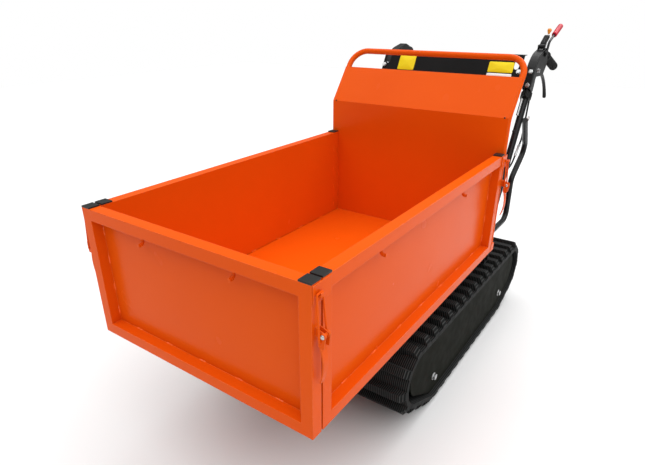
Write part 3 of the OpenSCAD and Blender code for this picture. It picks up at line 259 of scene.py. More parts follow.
def rounded_box(low, high, side_r, edge_r, steps=6):
    """A box whose upright edges are rounded by side_r and its top and bottom edges by edge_r.

    Each row is a rounded rectangle at one height, drawn in by the edge's arc near the top and the bottom.
    """
    least_r = 0.0005
    low, high = np.asarray(low, float), np.asarray(high, float)
    quarter = np.linspace(0, math.pi / 2, steps)
    draw = edge_r * (1 - np.sin(quarter))
    rise = edge_r * (1 - np.cos(quarter))
    inset = np.concatenate([draw, draw[::-1]])
    height = np.concatenate([low[2] + rise, high[2] - rise[::-1]])
    turn = (np.arange(4)[:, None] * math.pi / 2 + quarter[None]).ravel()
    corner = np.array([[1, 1], [-1, 1], [-1, -1], [1, -1]]).repeat(steps, axis=0)
    half = (high - low)[:2] / 2
    radius = np.maximum(side_r - inset, least_r)[:, None, None]
    reach = (half - inset[:, None])[:, None, :] - radius
    plan = corner[None] * reach + radius * np.stack([np.cos(turn), np.sin(turn)], axis=-1)[None]
    upright = np.broadcast_to(height[:, None, None], plan.shape[:2] + (1,))
    return np.concatenate([plan + (low + high)[:2] / 2, upright], axis=-1)


# Finish making. A span is the part of a noise, or of an angle's cosine, that a finish uses.
TONE_SPAN = (0.30, 0.70)
DUST_SPAN = (0.45, 0.75)
GLOSS_SPAN = (0.20, 0.80)
EDGE_SPAN = (0.90, 0.995)
# Noise that breaks up the edge tone, which is a painted highlight with wear
EDGE_NOISE_SPAN = (0.35, 0.65)
EDGE_NOISE_SCALE = 60.0
EDGE_NOISE_LEAST = 0.25
RIB_SPAN = (0.10, 0.80)

# Colour sockets of a Mix node: the numbers of its two inputs and of its output
MIX_FIRST, MIX_SECOND, MIX_RESULT = 6, 7, 2


def nodes_of(name):
    """A new material, with its node tree, its shader and its texture coordinates."""
    material = bpy.data.materials.new(name)
    material.use_nodes = True
    tree = material.node_tree
    return material, tree, tree.nodes["Principled BSDF"], tree.nodes.new("ShaderNodeTexCoord")


def noise(tree, place, scale, detail, rough=0.55):
    """Noise on Object coordinates."""
    node = tree.nodes.new("ShaderNodeTexNoise")
    node.inputs["Scale"].default_value = scale
    node.inputs["Detail"].default_value = detail
    node.inputs["Roughness"].default_value = rough
    tree.links.new(place.outputs["Object"], node.inputs["Vector"])
    return node.outputs["Fac"]


def ranged(tree, value, span, to):
    """A value carried from one span of numbers to another, and held at its ends."""
    node = tree.nodes.new("ShaderNodeMapRange")
    node.inputs["From Min"].default_value, node.inputs["From Max"].default_value = span
    node.inputs["To Min"].default_value, node.inputs["To Max"].default_value = to
    tree.links.new(value, node.inputs["Value"])
    return node.outputs["Result"]


def times(tree, a, b):
    """The product of two values."""
    node = tree.nodes.new("ShaderNodeMath")
    node.operation = "MULTIPLY"
    tree.links.new(a, node.inputs[0])
    tree.links.new(b, node.inputs[1])
    return node.outputs[0]


def blended(tree, factor, first, second):
    """Mix of two colours, or of a socket and a colour, by factor."""
    node = tree.nodes.new("ShaderNodeMix")
    node.data_type = "RGBA"
    for value, socket in ((first, node.inputs[MIX_FIRST]), (second, node.inputs[MIX_SECOND])):
        if isinstance(value, tuple):
            socket.default_value = (*value, 1.0)
        else:
            tree.links.new(value, socket)
    tree.links.new(factor, node.inputs[0])
    return node.outputs[MIX_RESULT]


def stripes(tree, place, pitch, start, show):
    """Stripes of painted highlight across X that repeat every pitch, alike on both sides of the middle:
    show on a rib, else 0.

    The value is the cosine of the distance from the first rib at start, with one turn to a pitch.
    """
    parts = tree.nodes.new("ShaderNodeSeparateXYZ")
    tree.links.new(place.outputs["Object"], parts.inputs[0])
    value = parts.outputs["X"]
    per_metre = 2 * math.pi / pitch
    steps = (("ABSOLUTE", 0.0), ("SUBTRACT", start), ("MULTIPLY", per_metre), ("COSINE", 0.0))
    for operation, amount in steps:
        node = tree.nodes.new("ShaderNodeMath")
        node.operation = operation
        node.inputs[1].default_value = amount
        tree.links.new(value, node.inputs[0])
        value = node.outputs[0]
    return ranged(tree, value, RIB_SPAN, (0.0, show))


def edge_wear_and_highlight(tree, place, bevel, amount):
    """How far the edge's tone shows, a painted highlight with wear: where the rounded normal leaves the
    true one, broken up by noise.
    """
    true = tree.nodes.new("ShaderNodeNewGeometry")
    dot = tree.nodes.new("ShaderNodeVectorMath")
    dot.operation = "DOT_PRODUCT"
    tree.links.new(bevel.outputs["Normal"], dot.inputs[0])
    tree.links.new(true.outputs["Normal"], dot.inputs[1])
    near_edge = ranged(tree, dot.outputs["Value"], EDGE_SPAN, (amount, 0.0))
    edge_noise = noise(tree, place, EDGE_NOISE_SCALE, detail=5.0, rough=0.7)
    broken = ranged(tree, edge_noise, EDGE_NOISE_SPAN, (EDGE_NOISE_LEAST, 1.0))
    return times(tree, near_edge, broken)


def finish(name, colour, shade, rough, patch, grain, grain_depth=0.00005, edge=None, edge_amount=0.5,
           round_by=0.0012, metallic=0.0, specular=0.5, coat=0.0, coat_rough=0.12, dust=None,
           dust_amount=0.0, ribs=None):
    """A surface finish: two tones in soft patches, lighter edges of painted highlight with wear, uneven
    gloss, fine grain, rounded edges.

    colour and shade are the two tones, and patch the scale of their patches. rough is the lowest and the
    highest roughness. grain and grain_depth are the grain's scale and depth. edge is the tone of the edges,
    a painted highlight with wear, and round_by the radius that they look rounded by. dust is a third tone
    that gathers in patches. ribs gives fine stripes: their pitch, the place of the first one, how strongly
    they show, and their colour, a painted highlight on the ribs.
    """
    material, tree, shader, place = nodes_of(name)
    link = tree.links.new
    bevel = tree.nodes.new("ShaderNodeBevel")
    bevel.samples = 6
    bevel.inputs["Radius"].default_value = round_by

    tone = ranged(tree, noise(tree, place, patch, detail=4.0), TONE_SPAN, (0.0, 1.0))
    mixed = blended(tree, tone, colour, shade)
    if dust:
        cloud = noise(tree, place, patch * 3, detail=6.0, rough=0.7)
        mixed = blended(tree, ranged(tree, cloud, DUST_SPAN, (0.0, dust_amount)), mixed, dust)
    # The edge tone is lighter than the body: a painted highlight along the edges, with wear
    if edge:
        mixed = blended(tree, edge_wear_and_highlight(tree, place, bevel, edge_amount), mixed, edge)
    if ribs:
        # The rib stripes mix in a painted highlight on the ribs
        pitch, start, show, rib_highlight = ribs
        mixed = blended(tree, stripes(tree, place, pitch, start, show), mixed, rib_highlight)
    link(mixed, shader.inputs["Base Color"])

    gloss = noise(tree, place, patch * 6, detail=1.0, rough=0.5)
    link(ranged(tree, gloss, GLOSS_SPAN, rough), shader.inputs["Roughness"])

    bump = tree.nodes.new("ShaderNodeBump")
    bump.inputs["Strength"].default_value = 1.0
    bump.inputs["Distance"].default_value = grain_depth
    link(noise(tree, place, grain, detail=2.0, rough=0.5), bump.inputs["Height"])
    link(bevel.outputs["Normal"], bump.inputs["Normal"])
    link(bump.outputs["Normal"], shader.inputs["Normal"])

    shader.inputs["Metallic"].default_value = metallic
    shader.inputs["Specular IOR Level"].default_value = specular
    shader.inputs["Coat Weight"].default_value = coat
    shader.inputs["Coat Roughness"].default_value = coat_rough
    return material


def grey(level):
    """A colour without hue."""
    return (level, level, level)


# Finishes of coated sheet and tube
# Their lighter edge tones are a painted highlight along the edges, with wear
ORANGE_COAT = finish(
    "orange_coat", (0.745, 0.091, 0.0032), (0.705, 0.082, 0.0028), rough=(0.18, 0.28), patch=2.2,
    grain=420.0, edge=(0.95, 0.26, 0.085), edge_amount=0.65, round_by=0.0014, specular=0.060)
# Weld beads in a lighter orange than the coat: the lighter colour is a painted highlight for their glints
WELD_HIGHLIGHT_COAT = finish(
    "weld_highlight_coat", (0.88, 0.125, 0.0060), (0.80, 0.100, 0.0040), rough=(0.12, 0.24), patch=60.0, grain=420.0,
    round_by=0.0005, specular=0.45)
BLACK_COAT = finish(
    "black_coat", (0.006, 0.006, 0.0065), (0.009, 0.009, 0.0095), rough=(0.22, 0.36), patch=5.0,
    grain=500.0, edge=grey(0.05), edge_amount=0.45, specular=0.22, coat=0.05, coat_rough=0.15)
SATIN_BLACK = finish(
    "satin_black", (0.0060, 0.0060, 0.0062), (0.0085, 0.0085, 0.0088), rough=(0.45, 0.60), patch=6.0,
    grain=500.0, edge=grey(0.05), edge_amount=0.4, specular=0.08)
OLIVE_COAT = finish(
    "olive_coat", (0.0085, 0.0090, 0.0066), (0.0105, 0.0111, 0.0083), rough=(0.46, 0.60), patch=5.0,
    grain=380.0, grain_depth=0.00006, edge=(0.06, 0.06, 0.052), specular=0.012,
    dust=(0.018, 0.0175, 0.015), dust_amount=0.15)

# Finishes of rubber and plastic
# Their lighter edge tones are a painted highlight with wear
TRACK_RUBBER = finish(
    "track_rubber", (0.0045, 0.0050, 0.0050), (0.0070, 0.0075, 0.0074), rough=(0.50, 0.72), patch=7.0,
    grain=700.0, grain_depth=0.00012, edge=grey(0.040), edge_amount=0.6, round_by=0.0020, specular=0.06,
    dust=(0.015, 0.015, 0.0145), dust_amount=0.20,
    # The light rib stripes are a painted highlight on the lug ribs
    ribs=(RIB_PITCH, TRACK_OUT - TRACK_WIDE + RIB_FROM, 0.75, (0.055, 0.056, 0.055)))
GRIP_RUBBER = finish(
    "grip_rubber", grey(0.006), grey(0.009), rough=(0.48, 0.62), patch=12.0, grain=900.0,
    grain_depth=0.00006, edge=grey(0.03), edge_amount=0.4, round_by=0.0008, specular=0.2)
BLACK_PLASTIC = finish(
    "black_plastic", (0.0080, 0.0080, 0.0084), (0.0115, 0.0115, 0.0119), rough=(0.36, 0.50), patch=8.0,
    grain=1400.0, edge=grey(0.05), edge_amount=0.35, round_by=0.0015, specular=0.18)
CAP_PLASTIC = finish(
    "cap_plastic", (0.0150, 0.0155, 0.0150), (0.0185, 0.0190, 0.0185), rough=(0.36, 0.48), patch=10.0,
    grain=1400.0, edge=grey(0.07), edge_amount=0.35, round_by=0.0015, specular=0.22)
RED_SLEEVE = finish(
    "red_sleeve", (0.52, 0.014, 0.034), (0.45, 0.010, 0.026), rough=(0.32, 0.45), patch=20.0, grain=600.0,
    edge=(0.7, 0.05, 0.06), edge_amount=0.3, round_by=0.0008, specular=0.2)
ORANGE_KNOB = finish(
    "orange_knob", (0.85, 0.30, 0.012), (0.78, 0.24, 0.010), rough=(0.22, 0.32), patch=30.0, grain=600.0,
    grain_depth=0.00002, coat=0.4)

# Finishes of bare metal
# Their lighter edge tones are a painted highlight with wear
ZINC = finish(
    "zinc_plate", (0.60, 0.60, 0.59), (0.48, 0.49, 0.50), rough=(0.22, 0.40), patch=30.0, grain=800.0,
    grain_depth=0.00004, edge=grey(0.75), round_by=0.0008, metallic=1.0)
CAST_STEEL = finish(
    "cast_steel", (0.055, 0.055, 0.057), (0.035, 0.034, 0.034), rough=(0.45, 0.65), patch=9.0, grain=420.0,
    grain_depth=0.0002, edge=grey(0.20), edge_amount=0.6, metallic=0.6)
CAST_ALLOY = finish(
    "cast_alloy", (0.42, 0.42, 0.43), (0.34, 0.34, 0.35), rough=(0.40, 0.58), patch=8.0, grain=500.0,
    grain_depth=0.00018, edge=(0.62, 0.62, 0.63), metallic=0.85)
DARK_STEEL = finish(
    "dark_steel", (0.06, 0.055, 0.05), (0.09, 0.075, 0.06), rough=(0.40, 0.60), patch=10.0, grain=500.0,
    grain_depth=0.0001, edge=(0.2, 0.18, 0.15), edge_amount=0.4, metallic=0.9)

# Finishes of the plain plates on the console
YELLOW_PLATE = finish(
    "yellow_plate", (0.84, 0.66, 0.012), (0.80, 0.62, 0.010), rough=(0.35, 0.45), patch=12.0, grain=300.0,
    grain_depth=0.00002, specular=0.12)
WHITE_PLATE = finish(
    "white_plate", (0.80, 0.80, 0.79), (0.74, 0.74, 0.73), rough=(0.35, 0.45), patch=12.0, grain=300.0,
    grain_depth=0.00002)

FINISH_OF_SLOT = {
    "orange_paint": ORANGE_COAT,
    "black_paint": BLACK_COAT,
    "olive_paint": OLIVE_COAT,
    "track_rubber": TRACK_RUBBER,
    "grip_rubber": GRIP_RUBBER,
    "black_plastic": BLACK_PLASTIC,
    "red_plastic": RED_SLEEVE,
    "orange_plastic": ORANGE_KNOB,
    "zinc_steel": ZINC,
    "cast_steel": CAST_STEEL,
    "cast_alloy": CAST_ALLOY,
    "black_steel": DARK_STEEL,
}
FINISH_OF_NODE = {
    "console_panel": SATIN_BLACK,
    "front_caps": CAP_PLASTIC,
    "left_caps": CAP_PLASTIC,
    "right_caps": CAP_PLASTIC,
}

for part in frame["record"]["subparts"]:
    solid = frame["nodes"][part["node"]]
    for slot in solid.material_slots:
        slot.material = FINISH_OF_NODE.get(part["node"], FINISH_OF_SLOT[part["material_slot"]])


def dressed(piece, body, slot=None, material=None):
    """Gives a new piece its slot's finish, or another one, and lets it ride on a body."""
    piece.data.materials.append(material or FINISH_OF_SLOT[slot])
    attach(piece, body)
    return piece


# Control cables: from the housings, round behind the engine, to the gearbox
CABLE_R = 0.0035
CABLE_BEND = 0.030
GEARBOX_REAR = 1.530
CABLE_CORNERS = np.array([
    CLAMP + [-0.004, 0.080, 0.062],
    CLAMP + [-0.012, 0.082, -0.194],
    CLAMP + [-0.014, -0.004, -0.283],
    [0.200, GEARBOX_REAR - 0.030, 0.480],
    [0.110, GEARBOX_REAR + 0.045, 0.380],
    [0.080, GEARBOX_REAR + 0.036, 0.262],
    [0.080, GEARBOX_REAR + 0.0003, 0.262],
])


def rounded_route(corners, bend, step=0.004, arc_points=24):
    """Straight runs between corner points with an arc of radius bend at each corner, in even steps.

    Gives the points and the whole length.
    """
    route = [corners[:1]]
    for before, corner, after in zip(corners[:-2], corners[1:-1], corners[2:]):
        back, ahead = unit(before - corner), unit(after - corner)
        half = math.acos(back @ ahead) / 2
        start = corner + back * bend / math.tan(half)
        middle = corner + unit(back + ahead) * bend / math.sin(half)
        turn = np.linspace(0, math.pi - 2 * half, arc_points)[:, None]
        route.append(middle + np.cos(turn) * (start - middle) - np.sin(turn) * bend * back)
    route = np.concatenate(route + [corners[-1:]])
    far = np.concatenate([[0], np.cumsum(np.linalg.norm(np.diff(route, axis=0), axis=1))])
    even = np.linspace(0, far[-1], int(far[-1] / step))
    return np.stack([np.interp(even, far, route[:, k]) for k in range(3)], axis=1), far[-1]


def adjuster_points():
    """A screw adjuster on the cable's second run: a turned sleeve with two collars on a thread.

    The thread's radius is a sine along the axis, and both ends are drawn in.
    """
    long, share_of_run = 0.058, 0.22
    thread_r, thread_deep, thread_pitch, collar_r = 0.0044, 0.0003, 0.0011, 0.0056
    run = CABLE_CORNERS[2] - CABLE_CORNERS[1]
    s = np.linspace(0, long, 233)
    thread = thread_r + thread_deep * np.sin(s / thread_pitch * 2 * math.pi)
    collar = ((s > 0.004) & (s < 0.012)) | ((s > 0.036) & (s < 0.054))
    at_end = (s < 0.0004) | (s > long - 0.0004)
    radius = np.where(collar, collar_r, thread) * np.where(at_end, 0.85, 1.0)
    return turned(CABLE_CORNERS[1] + share_of_run * run, run, s, radius)


cable_route, cable_long = rounded_route(CABLE_CORNERS, CABLE_BEND)
cable_tube = rings(cable_route, CABLE_R, 14)
adjuster = adjuster_points()
for side, sign in SIDES:
    cable = dressed(surface(f"control_cable_{side}", on_side(cable_tube, sign)), "chassis", "grip_rubber")
    screw = dressed(surface(f"cable_adjuster_{side}", on_side(adjuster, sign)), "chassis", "zinc_steel")
    if side == "left":
        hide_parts("control_cables")


# Track lugs: fine ribs, on the same tangent lines and arcs as the solid band
def loop_runs():
    """The straight runs of the band: the angle of each one's outward normal, and its length.

    Each run is the outer tangent of a wheel and the next one.
    """
    step = np.roll(WHEELS, -1, axis=0) - WHEELS
    span = np.hypot(step[:, 0], step[:, 1])
    normal = np.arctan2(step[:, 1], step[:, 0]) - np.arccos(-step[:, 2] / span)
    return normal, np.sqrt(span**2 - step[:, 2] ** 2)


def lug_spots():
    """Each lug's place on the band's inner face, its outward normal and its direction of travel.

    Lugs lie at equal lengths along the band's middle, which is an arc on each wheel and a straight run.
    """
    normal, run = loop_runs()
    wrap = (normal - np.roll(normal, 1)) % (2 * math.pi)
    arc = (WHEELS[:, 2] + BAND / 2) * wrap
    ends = np.cumsum(np.stack([arc, run], axis=1).ravel())
    along = (np.arange(LUG_COUNT) + 0.5) * ends[-1] / LUG_COUNT
    stretch = np.searchsorted(ends, along)
    start = along - np.concatenate([[0], ends])[stretch]
    wheel = stretch // 2
    on_arc = stretch % 2 == 0
    radius = WHEELS[wheel, 2]
    angle = np.where(on_arc, np.roll(normal, 1)[wheel] + start / (radius + BAND / 2), normal[wheel])
    out = np.stack([np.cos(angle), np.sin(angle)], axis=1)
    travel = np.stack([-np.sin(angle), np.cos(angle)], axis=1)
    place = WHEELS[wheel, :2] + radius[:, None] * out + np.where(on_arc, 0.0, start)[:, None] * travel
    return place, out, travel


def rib_shapes():
    """A rib on a lug's leading face and one on its trailing face, as corners across, outwards and along.

    A rib is a wedge with its foot in the lug's face. Its ridge is half as wide and slopes down at the top.
    """
    half, proud, sunk, slope = 0.0012, 0.0014, 0.0003, 0.002
    low, high = BAND - 0.001, BAND + LUG_HIGH - 0.002
    foot = [[-half, low, 0], [half, low, 0], [half, high, 0], [-half, high, 0]]
    ridge = [[-half / 2, low, proud], [half / 2, low, proud],
             [half / 2, high - slope, proud], [-half / 2, high - slope, proud]]
    leading = np.array(foot + ridge) + [0, 0, LUG_LONG / 2 - sunk]
    trailing = leading[[1, 0, 3, 2, 5, 4, 7, 6]] * [1, 1, -1]
    return np.array([leading, trailing])


def lug_ribs(side, sign):
    """The ribs of one track: both rib shapes set across every lug at RIB_PITCH and turned to its normal.

    The right track is the left one mirrored, with its faces turned round.
    """
    place, out, travel = (part[:, None, None, None] for part in lug_spots())
    shape = rib_shapes()[None, :, None]
    across = (RIB_FROM + RIB_PITCH * np.arange(RIB_COUNT))[None, None, :, None]
    x = TRACK_OUT - TRACK_WIDE + across + shape[..., 0]
    yz = place + shape[..., 1, None] * out + shape[..., 2, None] * travel
    points = np.stack(np.broadcast_arrays(sign * x, yz[..., 0], yz[..., 1]), axis=-1).reshape(-1, 8, 3)
    faces = np.array([[4, 5, 6, 7], [0, 4, 7, 3], [1, 2, 6, 5], [3, 7, 6, 2], [0, 1, 5, 4], [0, 3, 2, 1]])
    return many(f"lug_ribs_{side}", points, [faces[:, ::sign]], smooth=False)


for side, sign in SIDES:
    dressed(lug_ribs(side, sign), "chassis", "track_rubber")


# Hand grips: ribbed sleeves with a flange and a rounded end
def grip_points():
    """A turned grip: a crowned flange, ridges that are a clipped sine, and a quarter ellipse at its end."""
    gap, flange_long, ridged_to, end_long = 0.005, 0.006, 0.104, 0.012
    flange_r, flange_crown, end_r = 0.0205, 0.0008, 0.0168
    ridge_r, ridge_deep, ridge_from, ridge_pitch, ridge_clip = 0.0155, 0.0015, 0.010, 0.0082, 1.6
    s = np.concatenate([
        np.linspace(0, flange_long, 7),
        np.linspace(flange_long + 0.001, ridged_to, 110),
        ridged_to + end_long * np.sin(np.linspace(0, math.pi / 2, 12))[1:],
    ])
    wave = np.clip(ridge_clip * np.sin((s - ridge_from) / ridge_pitch * 2 * math.pi), -1, 1)
    ridge = ridge_r + ridge_deep * wave
    flange = flange_r - flange_crown * (2 * s / flange_long - 1) ** 2
    end = end_r * np.sqrt(np.clip(1 - ((s - ridged_to) / (end_long + 0.0002)) ** 2, 0.0, 1.0))
    radius = np.where(s <= flange_long, flange, np.where(s >= ridged_to, end, ridge))
    return turned(GRIP_ROOT + gap * GRIP_DIR, GRIP_DIR, s, radius, 40)


grip = grip_points()
grips = dressed(surface("grip_sleeves", grip), "chassis", "grip_rubber")
dressed(surface("grip_sleeves_right", mirrored(grip)), "chassis", "grip_rubber")
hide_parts("hand_grips")


# Steering levers: bowed levers of rounded section on a round boss
def section_rings(path, half_x, half_out, turns=28, power=3.2):
    """Superellipses of half sizes half_x along X and half_out across it, square to a path of constant X."""
    ahead = np.gradient(path, axis=0)
    ahead /= np.linalg.norm(ahead, axis=1)[:, None]
    out = np.cross(ahead, ALONG_X)
    c, s = np.cos(full_turn(turns)), np.sin(full_turn(turns))
    u = (np.sign(c) * np.abs(c) ** (2 / power))[None, :, None]
    v = (np.sign(s) * np.abs(s) ** (2 / power))[None, :, None]
    return path[:, None] + half_x[:, None, None] * u * ALONG_X + half_out[:, None, None] * v * out[:, None]


def lever_points():
    """A path on a circle from the pivot down behind the grip. The section narrows, then swells to a tip.

    halves gives half the width and half the thickness: at the pivot, what the waist takes off it as a sine,
    and what the tip adds.
    """
    bow, start, sweep, tip_from = 0.274, math.radians(78), math.radians(46.2), 0.96
    halves = ((0.0066, 0.0012, 0.0008), (0.0056, 0.0008, 0.0006))
    tip = 1 - tip_from
    middle = LEVER_PIN[1:] - bow * np.array([math.cos(start), math.sin(start)])
    t = np.concatenate([
        np.linspace(0, tip_from, 48),
        tip_from + tip * np.sin(np.linspace(0, math.pi / 2, 10))[1:],
    ])
    angle = start - t * sweep
    path = np.stack([
        np.full_like(t, HANDLE_X),
        middle[0] + bow * np.cos(angle),
        middle[1] + bow * np.sin(angle),
    ], axis=1)
    past = np.clip(t - tip_from, 0, 1) / (tip + 0.0002)
    close = np.sqrt(np.clip(1 - past**2, 0.004, 1))
    bent = np.sin(math.pi * t)
    wide, thick = ((root - waist * bent + swell * t) * close for root, waist, swell in halves)
    return section_rings(path, wide, thick)


def boss_points(half=0.007, radius=0.010, bore=0.0041, fillet=0.0015):
    """A ring round the pivot: a profile from the bore over a filleted rim and back, turned about X."""
    quarter = np.linspace(0, math.pi / 2, 5)
    rise = fillet * np.sin(quarter)
    back = fillet * np.cos(quarter)
    along = np.concatenate([[-half], -half + fillet - back, half - fillet + back[::-1], [half]])
    reach = np.concatenate([[bore], radius - fillet + rise, radius - fillet + rise[::-1], [bore]])
    return turned(LEVER_PIN, ALONG_X, along, reach, 40)


lever, boss = lever_points(), boss_points()
for side, sign in SIDES:
    body = f"{side}_steering"
    blade = dressed(surface(f"steering_blade_{side}", on_side(lever, sign)), body, "black_plastic")
    dressed(surface(f"steering_boss_{side}", on_side(boss, sign), closing="loop"), body, "black_plastic")
    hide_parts(f"steering_lever_{side}")


# Plain plates on the console
def plate_points(x0, x1, z0, z1):
    """A thin plate with round corners on the leaning console: a circle with its quarters moved apart.

    Its rows are the outline at the foot, at the top edge, drawn in on top, and shrunk to the middle. The
    console leans as the handles do.
    """
    lift, corner, sunk, crown, drawn_in = 0.0012, 0.004, 0.0002, 0.0003, 0.98
    c, s = np.cos(full_turn(64)), np.sin(full_turn(64))
    u = np.sign(c) * ((x1 - x0) / 2 - corner) + corner * c
    v = np.sign(s) * ((z1 - z0) / 2 - corner) + corner * s
    outline = u[:, None] * ALONG_X + v[:, None] * HANDLE_DIR
    down = (z0 + z1) / 2 - CONSOLE_TOP[2]
    middle = CONSOLE_TOP + HANDLE_DIR * down / HANDLE_DIR[2] + ALONG_X * (x0 + x1) / 2
    share = np.array([1.0, 1.0, drawn_in, 0.0])[:, None, None]
    height = np.array([-sunk, lift, lift + crown, lift + crown])[:, None, None]
    return (middle + share * outline + height * FRONT_DIR)[:, ::-1]


for name, spot, tone in (("console_plate_left", (0.163, 0.256, 0.9757, 1.016), YELLOW_PLATE),
                         ("console_strip_left", (0.163, 0.256, 0.963, 0.9755), WHITE_PLATE),
                         ("console_plate_right", (-0.213, -0.141, 0.965, 1.024), YELLOW_PLATE)):
    dressed(surface(name, plate_points(*spot), closing="open"), "chassis", material=tone)


# Rivet heads on the latch pins
PIN_HIGH = 0.640
PIN_HALF = 0.010
PIN_PLACE = {"front": (0.368, 0.017), "rear": (0.369, 1.1205)}


def rivet_head(centre, axis, radius=0.0052, high=0.0026, sunk=0.001):
    """A shallow dome: its radius falls as a quarter ellipse while its height grows."""
    quarter = np.linspace(0, math.pi / 2, 8)[:-1]
    along = np.concatenate([[-sunk], high * np.sin(quarter)])
    return turned(centre, axis, along, np.concatenate([[radius], radius * np.cos(quarter)]), 20)


for end, (pin_x, pin_y) in PIN_PLACE.items():
    for side, sign in SIDES:
        for k, way in enumerate((-ALONG_Y, ALONG_Y)):
            head = rivet_head([sign * pin_x, pin_y, PIN_HIGH] + PIN_HALF * way, way)
            dressed(surface(f"pin_head_{end}_{side}_{k}", head), f"{end}_{side}_latch_lever", "zinc_steel")


# Weld beads where the panel sheets meet their frames
WELD_HALF = 0.013
POST_IN = BOX_HALF - TUBE
SHEET_LOW = BOX_LOW + TUBE
SIDE_SHEET = BOX_HALF - SHEET_IN
SIDE_POSTS = (SIDE_FROM + TUBE, SIDE_TO - TUBE)
WELD_HEIGHTS = SHEET_LOW + np.array([0.030, 0.105, 0.185, 0.265])


def bead(middle, way, radius=0.0026, ripple=0.0052):
    """A weld bead: a thin round ridge that swells at each ripple and fades out at both ends."""
    least, swelling = 0.88, 0.24
    s = np.linspace(0, 1, 40)
    long = 2 * WELD_HALF
    fade = np.sqrt(np.clip(1 - (2 * s - 1) ** 6, 0.02, 1))
    swell = least + swelling * np.abs(np.sin(math.pi * s * long / ripple))
    return turned(middle - WELD_HALF * way, way, s * long, radius * fade * swell, 10)


front_welds = [bead([x, SHEET_IN, z], ALONG_Z) for z in WELD_HEIGHTS for x in (-POST_IN, POST_IN)]
front_welds += [bead([x, SHEET_IN, SHEET_LOW], ALONG_X) for x in np.linspace(-0.24, 0.24, 5)]
side_welds = [bead([SIDE_SHEET, y, z], ALONG_Z) for z in WELD_HEIGHTS for y in SIDE_POSTS]
side_welds += [bead([SIDE_SHEET, y, SHEET_LOW], ALONG_Y) for y in np.linspace(0.16, 0.98, 7)]
far_welds = [mirrored(weld) for weld in side_welds]
for side, welds in (("front", front_welds), ("left", side_welds), ("right", far_welds)):
    dressed(surfaces(f"{side}_panel_welds", welds), f"{side}_gate", "orange_paint", WELD_HIGHLIGHT_COAT)


# Fuel tank: a moulded box with round edges, a seam round its middle and a filler neck
TANK_LOW = np.array([-0.108, 1.232, 0.511])
TANK_HIGH = np.array([0.098, 1.372, 0.601])
TANK_R = 0.024
SEAM_OUT = 0.0025
tank_shell = rounded_box(TANK_LOW, TANK_HIGH, TANK_R, 0.020)
tank_seam = rounded_box(TANK_LOW + [-SEAM_OUT, -SEAM_OUT, 0.042], TANK_HIGH + [SEAM_OUT, SEAM_OUT, -0.043],
                        TANK_R + SEAM_OUT, 0.0012)
tank_neck = lathe([-0.040, 1.300, 0.596], ALONG_Z, [
    (0, 0.017), (0, 0.030), (0.003, 0.0285), (0.005, 0.024), (0.013, 0.024), (0.015, 0.0225),
    (0.015, 0.017),
], 48)
tank = dressed(surface("fuel_tank_shell", tank_shell), "chassis", "black_plastic")
dressed(surface("fuel_tank_seam", tank_seam), "chassis", "black_plastic")
dressed(surface("fuel_tank_neck", tank_neck, closing="loop"), "chassis", "black_plastic")
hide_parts("fuel_tank")

# Air filter: a moulded case, a lid and a knob with five lobes
filter_shell = rounded_box([0.008, 1.388, 0.565], [0.112, 1.488, 0.643], 0.018, 0.008)
filter_lid = rounded_box([0.0095, 1.3895, 0.6425], [0.1105, 1.4865, 0.661], 0.017, 0.010)
knob_lobes = 1 + 0.12 * np.cos(5 * full_turn(60))
knob_radii = np.array([0.006, 0.0105, 0.0105, 0.0095, 0.004])[:, None] * knob_lobes
filter_knob = turned([0.060, 1.486, 0.610], ALONG_Y, [0, 0.001, 0.006, 0.0078, 0.008], knob_radii, 60)
filter_case = dressed(surface("air_filter_case", filter_shell), "chassis", "black_plastic")
dressed(surface("air_filter_lid", filter_lid), "chassis", "black_plastic")
dressed(surface("air_filter_knob", filter_knob), "chassis", "black_plastic")
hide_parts("air_filter")


# Small fittings on the handle tubes
def on_tube(along, out_x, front):
    """A point beside the left handle tube: along it from the clamp, out to the side, and to the front."""
    return CLAMP + along * HANDLE_DIR + out_x * ALONG_X + front * FRONT_DIR


def sleeve_points():
    """A cable sleeve beside the tube: a turned rod with a collar at each end, drawn in at its end faces."""
    long, rod_r, collar_r = 0.066, 0.0048, 0.0055
    s = np.linspace(0, long, 133)
    collar = (s < 0.006) | (s > 0.058)
    at_end = (s < 0.0006) | (s > long - 0.0006)
    radius = np.where(collar, collar_r, rod_r) * np.where(at_end, 0.8, 1.0)
    return turned(on_tube(-0.098, -0.008, 0.0155), HANDLE_DIR, s, radius)


sleeve = sleeve_points()
button = lathe(on_tube(-0.160, -0.004, 0.0105), FRONT_DIR, [
    (0, 0.006), (0.001, 0.0065), (0.006, 0.0062), (0.0076, 0.0042), (0.008, 0.001),
], 32)
bolt = hex_head(on_tube(-0.100, HANDLE_R + 0.0165, 0.0), ALONG_X, 0.0072, 0.0060)
for side, sign in SIDES:
    dressed(surface(f"throttle_sleeve_{side}", on_side(sleeve, sign)), "chassis", "zinc_steel")
    dressed(surface(f"tube_button_{side}", on_side(button, sign)), "chassis", "black_plastic")
    dressed(surface(f"guard_bolt_{side}", on_side(bolt, sign), smooth=False), "chassis", "zinc_steel")


# Housing sides: a ridge that follows the curved back
HOUSING_HALF = 0.0148


